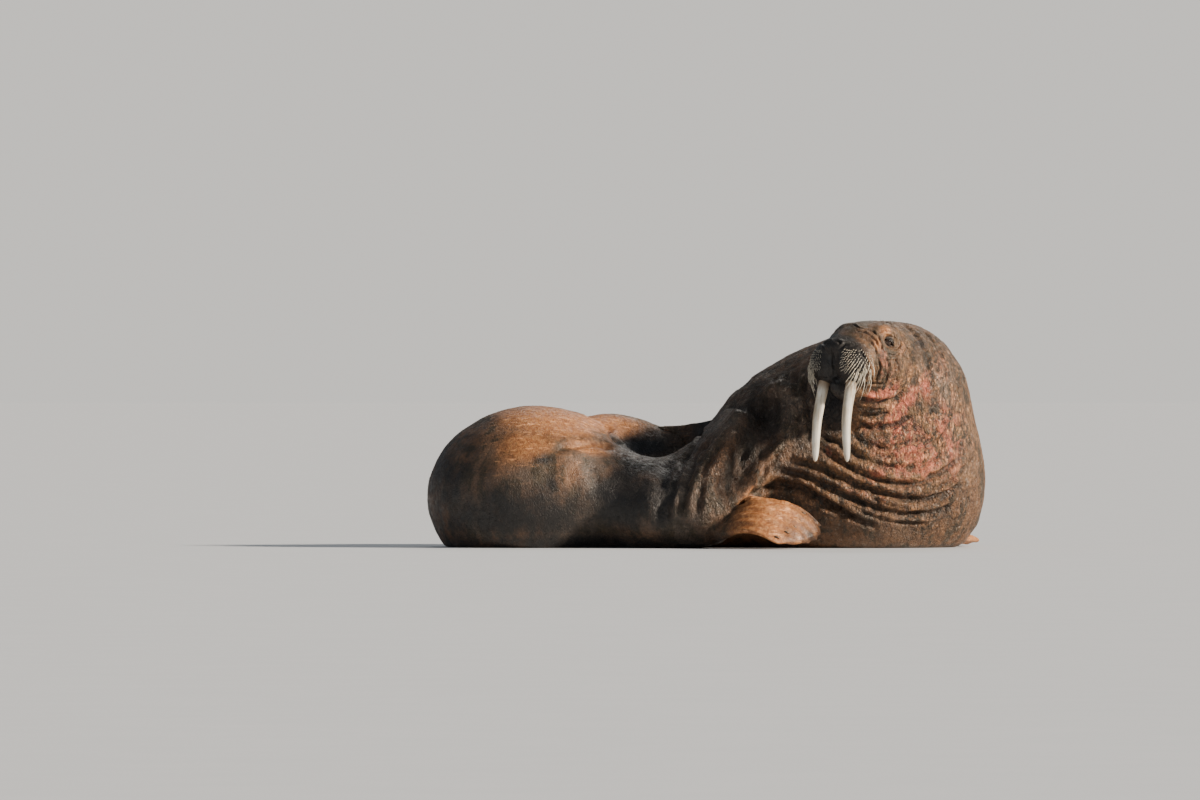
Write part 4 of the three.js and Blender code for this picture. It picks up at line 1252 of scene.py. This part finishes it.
# Whiskers: short pegs over the top of each pad, long and hanging at its lower outer edge. The turns are in
# degrees, from the pad's inner side outwards and from its top down.
whisker = {
    "rows": 13, "columns": 13, "length": (0.014, 0.128), "width": 0.0046, "thin": 0.60, "taper": 0.8,
    "outwards": (-6, 112), "upwards": (46, -50), "sunk": 0.003, "seed": 41,
}


def buildWhiskers(side):
    draw = random.Random(whisker["seed"] + side)
    centre = Vector((side * pad["at"][0], *pad["at"][1:]))
    tuskSide, tuskBack, _ = tusk["line"][1]
    strands = []
    for row, column in product(range(whisker["rows"]), range(whisker["columns"])):
        down = row / (whisker["rows"] - 1)
        out = max(0, column + 0.5 * (row % 2) + draw.uniform(-0.15, 0.15)) / whisker["columns"]
        swing = math.radians(between(whisker["outwards"], out))
        rise = math.radians(between(whisker["upwards"], down) + 14 * down * out + draw.uniform(-1.6, 1.6))
        level = math.cos(rise)
        aim = Vector((side * math.sin(swing) * level, -math.cos(swing) * level, math.sin(rise)))
        hit, normal, _, _ = bodyTree.ray_cast(headFrame @ (centre + aim * 0.16), headTurn @ -aim)
        corner = math.hypot(max(0, out - 0.45) / 0.55, max(0, 0.42 - down) / 0.42)
        if hit is None or corner > draw.uniform(0.82, 0.98):
            continue
        root = headInverse @ hit
        nearTusk = math.hypot(root.x - side * tuskSide, root.y - tuskBack) < tusk["radius"] + 0.008
        if root.z < pad["at"][2] - 0.040 and (nearTusk or out < 0.3):
            continue
        grow = max(0.0, (down - 0.36) / 0.64) ** 1.1 * min(1.0, max(0.06, (out - 0.12) / 0.5))
        length = between(whisker["length"], grow) * draw.uniform(0.75, 1.12)
        if draw.random() < whisker["thin"] * grow:
            continue
        stand = (headTurn.transposed() @ normal).normalized()
        hang = Vector((-side * (1.05 - 0.80 * out), 0.02, -1)).normalized()
        middle = root + (stand * 0.75 + hang * 0.45).normalized() * length * 0.40
        tip = root + (stand * (0.48 - 0.26 * grow) + hang).normalized() * length
        tip += Vector([draw.uniform(-0.07, 0.07) * length for _ in range(3)])
        width = whisker["width"] * (0.60 + 0.40 * min(1, length / 0.06)) * draw.uniform(0.85, 1.1)
        line = [np.array(headFrame @ place) for place in (root - stand * whisker["sunk"], middle, tip)]
        strands.append(line + [width, whisker["taper"], (0.31, 0.22, 0.93)])
    return strands


whiskerLook = strandMaterial(
    "whisker", root=(0.66, 0.58, 0.45), tip=(0.80, 0.73, 0.59), fleck=(0.24, 0.18, 0.12),
    flecks=(90.0, 4.0, 0.4, 0.62, 0.0, 0.5), rough=(160.0, 0.38, 0.55), bump=(700.0, 0.0004, 0.5),
)
whiskerPattern = strandPattern(5, 5)
for side, name in ((-1, "whiskers_right"), (1, "whiskers_left")):
    strands = buildWhiskers(side)
    piece = joinStrands(name, whiskerPattern, strands, 1.0, placesOf([strand[0] for strand in strands]))
    piece.data.materials.append(whiskerLook)
    print("stage:", name, len(strands))


# A round horn along a line of points. radiusAt() gives its radius by its step and its turn.
def buildHorn(name, centres, radiusAt, sides):
    last = len(centres) - 1
    axes = []
    across = Vector((1, 0, 0))
    for step in range(last + 1):
        along = (centres[min(step + 1, last)] - centres[max(step - 1, 0)]).normalized()
        across = (across - along * across.dot(along)).normalized()
        axes.append((across, along.cross(across)))

    def place(step, turn):
        offset = axes[step][0] * math.cos(turn) + axes[step][1] * math.sin(turn)
        return centres[step] + offset * radiusAt(step, turn)

    bm = bmesh.new()
    _, edges = sweepRing(bm, sides, last + 1, place, True)
    bmesh.ops.holes_fill(bm, edges=edges, sides=0)
    bmesh.ops.recalc_face_normals(bm, faces=bm.faces)
    piece = newPiece(name, bm)
    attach(piece, "root")
    return piece


def buildTusk(side, name):
    knots = [Vector((side * x, y, z)) for x, y, z in tusk["line"]]
    centres = [headFrame @ curveAt(knots, n / tusk["steps"]) for n in range(tusk["steps"] + 1)]

    def radiusAt(step, turn):
        t = step / tusk["steps"]
        radius = tusk["radius"] * (1 - tusk["taper"] * t) * math.sqrt(max(0.015, 1 - t ** 11))
        return radius * (1 + 0.018 * math.cos(2 * turn) + 0.009 * math.sin(5 * turn + 3 * t)
                         + 0.006 * math.sin(9 * turn - 4 * t))

    return buildHorn(name, centres, radiusAt, tusk["sides"])


def ivoryMaterial():
    material, tree, shader = newMaterial("ivory")
    at = objectPoint(tree)
    lean = stretch(tree, at, (1, 1, 0.05), (0.0, -0.06, 0.0))
    grain = noiseOf(tree, lean, 150.0, 6.0, 0.6)
    streak = noiseOf(tree, lean, 42.0, 4.0, 0.6)
    patch = noiseOf(tree, at, 16.0, 5.0, 0.6)
    atRoot = math2(tree, "MULTIPLY", attributeOf(tree, "rootwards"), fit(tree, patch, 0.25, 0.6, 0.6, 1.0))
    shade = mix(tree, fit(tree, patch, 0.35, 0.65), (0.70, 0.63, 0.50), (0.80, 0.76, 0.66))
    shade = mix(tree, math2(tree, "MULTIPLY", fit(tree, streak, 0.42, 0.62), 0.70), shade, (0.42, 0.31, 0.19))
    shade = mix(tree, fit(tree, grain, 0.60, 0.72, 0.0, 0.55), shade, (0.20, 0.14, 0.085))
    shade = mix(tree, atRoot, shade, (0.25, 0.16, 0.09))
    normal = bumpOf(tree, grain, 0.0008, 0.6, bumpOf(tree, streak, 0.0022, 0.7))
    linkShader(tree, shader, shade, fit(tree, patch, 0.3, 0.7, 0.28, 0.46), normal)
    return material


ivory = ivoryMaterial()
for side, name in ((-1, "tusk_right"), (1, "tusk_left")):
    piece = buildTusk(side, name + "_ivory")
    lip = tusk["line"][1][2]
    rootwards = ramp(toHead(pointsOf(piece.data))[:, 2], lip - tusk["stain"], lip)
    writeValues(piece.data, "rootwards", "FLOAT", "value", rootwards)
    piece.data.materials.append(ivory)
    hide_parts(name)


# Eyes: a ball each, with the clear front a little proud
def buildEye(side, name):
    bm = bmesh.new()
    bmesh.ops.create_uvsphere(bm, u_segments=40, v_segments=28, radius=eyeAt["radius"] - eyeAt["gap"])
    for vertex in bm.verts:
        front = max(0.0, vertex.co.z / eyeAt["radius"] - eyeAt["clearFrom"]) / 0.2
        vertex.co.z += eyeAt["proud"] * front
    turn = (headTurn @ gazeOf(side)).to_track_quat("Z", "Y").to_matrix().to_4x4()
    bm.transform(Matrix.Translation(boxMiddle(name)) @ turn)
    eye = newPiece(name + "_ball", bm)
    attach(eye, "root")
    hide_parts(name)
    return eye


def eyeShade(tree, at):
    amount = fit(tree, noiseOf(tree, at, 220.0, 5.0), 0.35, 0.65)
    return mix(tree, amount, (0.012, 0.007, 0.005), (0.050, 0.026, 0.014))


eyeLook = noisyMaterial("eye", eyeShade, rough=(120.0, 0.05, 0.12), bump=(300.0, 0.0002, 0.3),
                        fixed={"Coat Weight": 0.6, "Coat Roughness": 0.04})
for side, name in eyes:
    buildEye(side, name).data.materials.append(eyeLook)
print("stage: tusks and eyes")

# Claws on the back of each digit: their size, how far out they start, how high the middle and the tip stand
# and how deep the root is
claw = {
    "length": 0.030, "width": 0.0095, "from": 0.80, "bow": 0.009, "tipUp": 0.004, "sunk": 0.004, "taper": 0.75,
}
clawLook = strandMaterial(
    "claw", root=(0.045, 0.028, 0.018), tip=(0.16, 0.115, 0.075), fleck=(0.020, 0.013, 0.009),
    flecks=(260.0, 5.0, 0.45, 0.65), rough=(120.0, 0.32, 0.55), bump=(420.0, 0.0006, 0.6),
)
clawPattern = strandPattern(10, 6)
for name in flippers:
    strands = []
    for digit in range(flipper["digits"]):
        turn = math.acos((2 * digit + 1) / flipper["digits"] - 1)
        root = flipperPoint(name, claw["from"], turn)
        backside = (root - flipperPoint(name, claw["from"], -turn)).normalized()
        along = (flipperPoint(name, claw["from"] + 0.08, turn) - root).normalized()
        start = root - backside * claw["sunk"]
        middle = root + along * claw["length"] * 0.5 + backside * claw["bow"]
        tip = root + along * claw["length"] + backside * claw["tipUp"]
        line = [np.array(place) for place in (start, middle, tip)]
        strands.append(line + [claw["width"], claw["taper"], np.array(backside)])
    piece = joinStrands("claws_" + name.replace("_flipper", ""), clawPattern, strands)
    piece.data.materials.append(clawLook)
print("stage: claws")

# The coat: short flat tufts that lie along the body, smallest on the face and the flippers
coat = {
    "tufts": 19000, "length": 0.017, "width": 0.0022, "flat": 0.40, "rise": 0.0014, "taper": 0.7,
    "sunk": 0.0012, "lidRoom": 0.034, "floorRoom": 0.03, "seed": 7,
}


# The way that the hair lies: back from the nose, along the trunk and round its bend
def hairDirection(point, normal, face):
    if face > 0.5:
        flow = headTurn @ Vector((0, 1, -0.15))
    else:
        q = point - originShift
        bend = Vector((min(0.0, q.x + 0.55), q.y - 0.36))
        flow = Vector((bend.y, -bend.x, 0)).normalized() if q.x < 0.1 else Vector((-1, 0, 0))
        flow += Vector((0, 0, -0.45))
    return (flow - normal * flow.dot(normal)).normalized()


def buildCoat():
    draw = np.random.default_rng(coat["seed"])
    mesh = body.data
    mesh.calc_loop_triangles()
    corner = readAll(mesh.loop_triangles, "vertices", np.int32)
    places = pointsOf(mesh)
    a, b, c = (places[corner[:, n]] for n in range(3))
    middle = (a + b + c) / 3
    face = belongs(middle, faceAt, (0.17, 0.20, 0.20), 0.9, 1.15)
    _, muzzle, limb = bodyMarks["marks_hollow_muzzle_flipper"][corner[:, 0]].T
    density = np.linalg.norm(np.cross(b - a, c - a), axis=1) * (1 + 1.5 * face) * (1 - 0.97 * muzzle)
    density *= middle[:, 2] > coat["floorRoom"]
    for _, node in eyes:
        density *= awayFrom(middle, boxMiddle(node)) > coat["lidRoom"]
    chosen = draw.choice(len(corner), coat["tufts"], p=density / density.sum())
    share = draw.dirichlet((1, 1, 1), len(chosen))
    roots = (places[corner[chosen]] * share[:, :, None]).sum(1)
    owners = corner[chosen, 0]
    strands = []
    for root, n, stand in zip(roots, chosen, readAll(mesh.vertices, "normal")[owners]):
        normal = Vector(stand).normalized()
        flow = hairDirection(Vector(root), normal, face[n])
        flow = (flow + normal.cross(flow) * draw.uniform(-0.25, 0.25)).normalized()
        size = (1 - 0.62 * face[n]) * (1 - 0.5 * limb[n]) * draw.uniform(0.7, 1.2)
        length = coat["length"] * size
        start = root - np.array(normal) * coat["sunk"]
        halfway = root + np.array(flow * length * 0.5 + normal * coat["rise"] * size)
        tip = root + np.array(flow * length + normal * coat["rise"] * 0.4 * size)
        strands.append((start, halfway, tip, coat["width"] * size, coat["taper"], np.array(normal)))
    pattern = strandPattern(3, 2)
    piece = joinStrands("coat", pattern, strands, coat["flat"], placesOf(roots))
    owner = np.repeat(owners, len(pattern[0]))
    writeMarks(piece.data, {name: values[owner] for name, values in bodyMarks.items()})
    return piece


# The hide's own colours, paler towards each tip
def coatShade(tree, at):
    tone = fit(tree, attributeOf(tree, "along"), 0.0, 1.0, 0.88, 1.30)
    return mix(tree, 1.0, useGroup(tree, markings, {"Vector": at})["Color"], greyOf(tree, tone), "MULTIPLY")


coatPiece = buildCoat()
coatLook = noisyMaterial("coat", coatShade, rough=(60.0, 0.42, 0.62), bump=(500.0, 0.0005, 0.5))
coatPiece.data.materials.append(coatLook)
print("stage: coat,", coat["tufts"], "tufts")
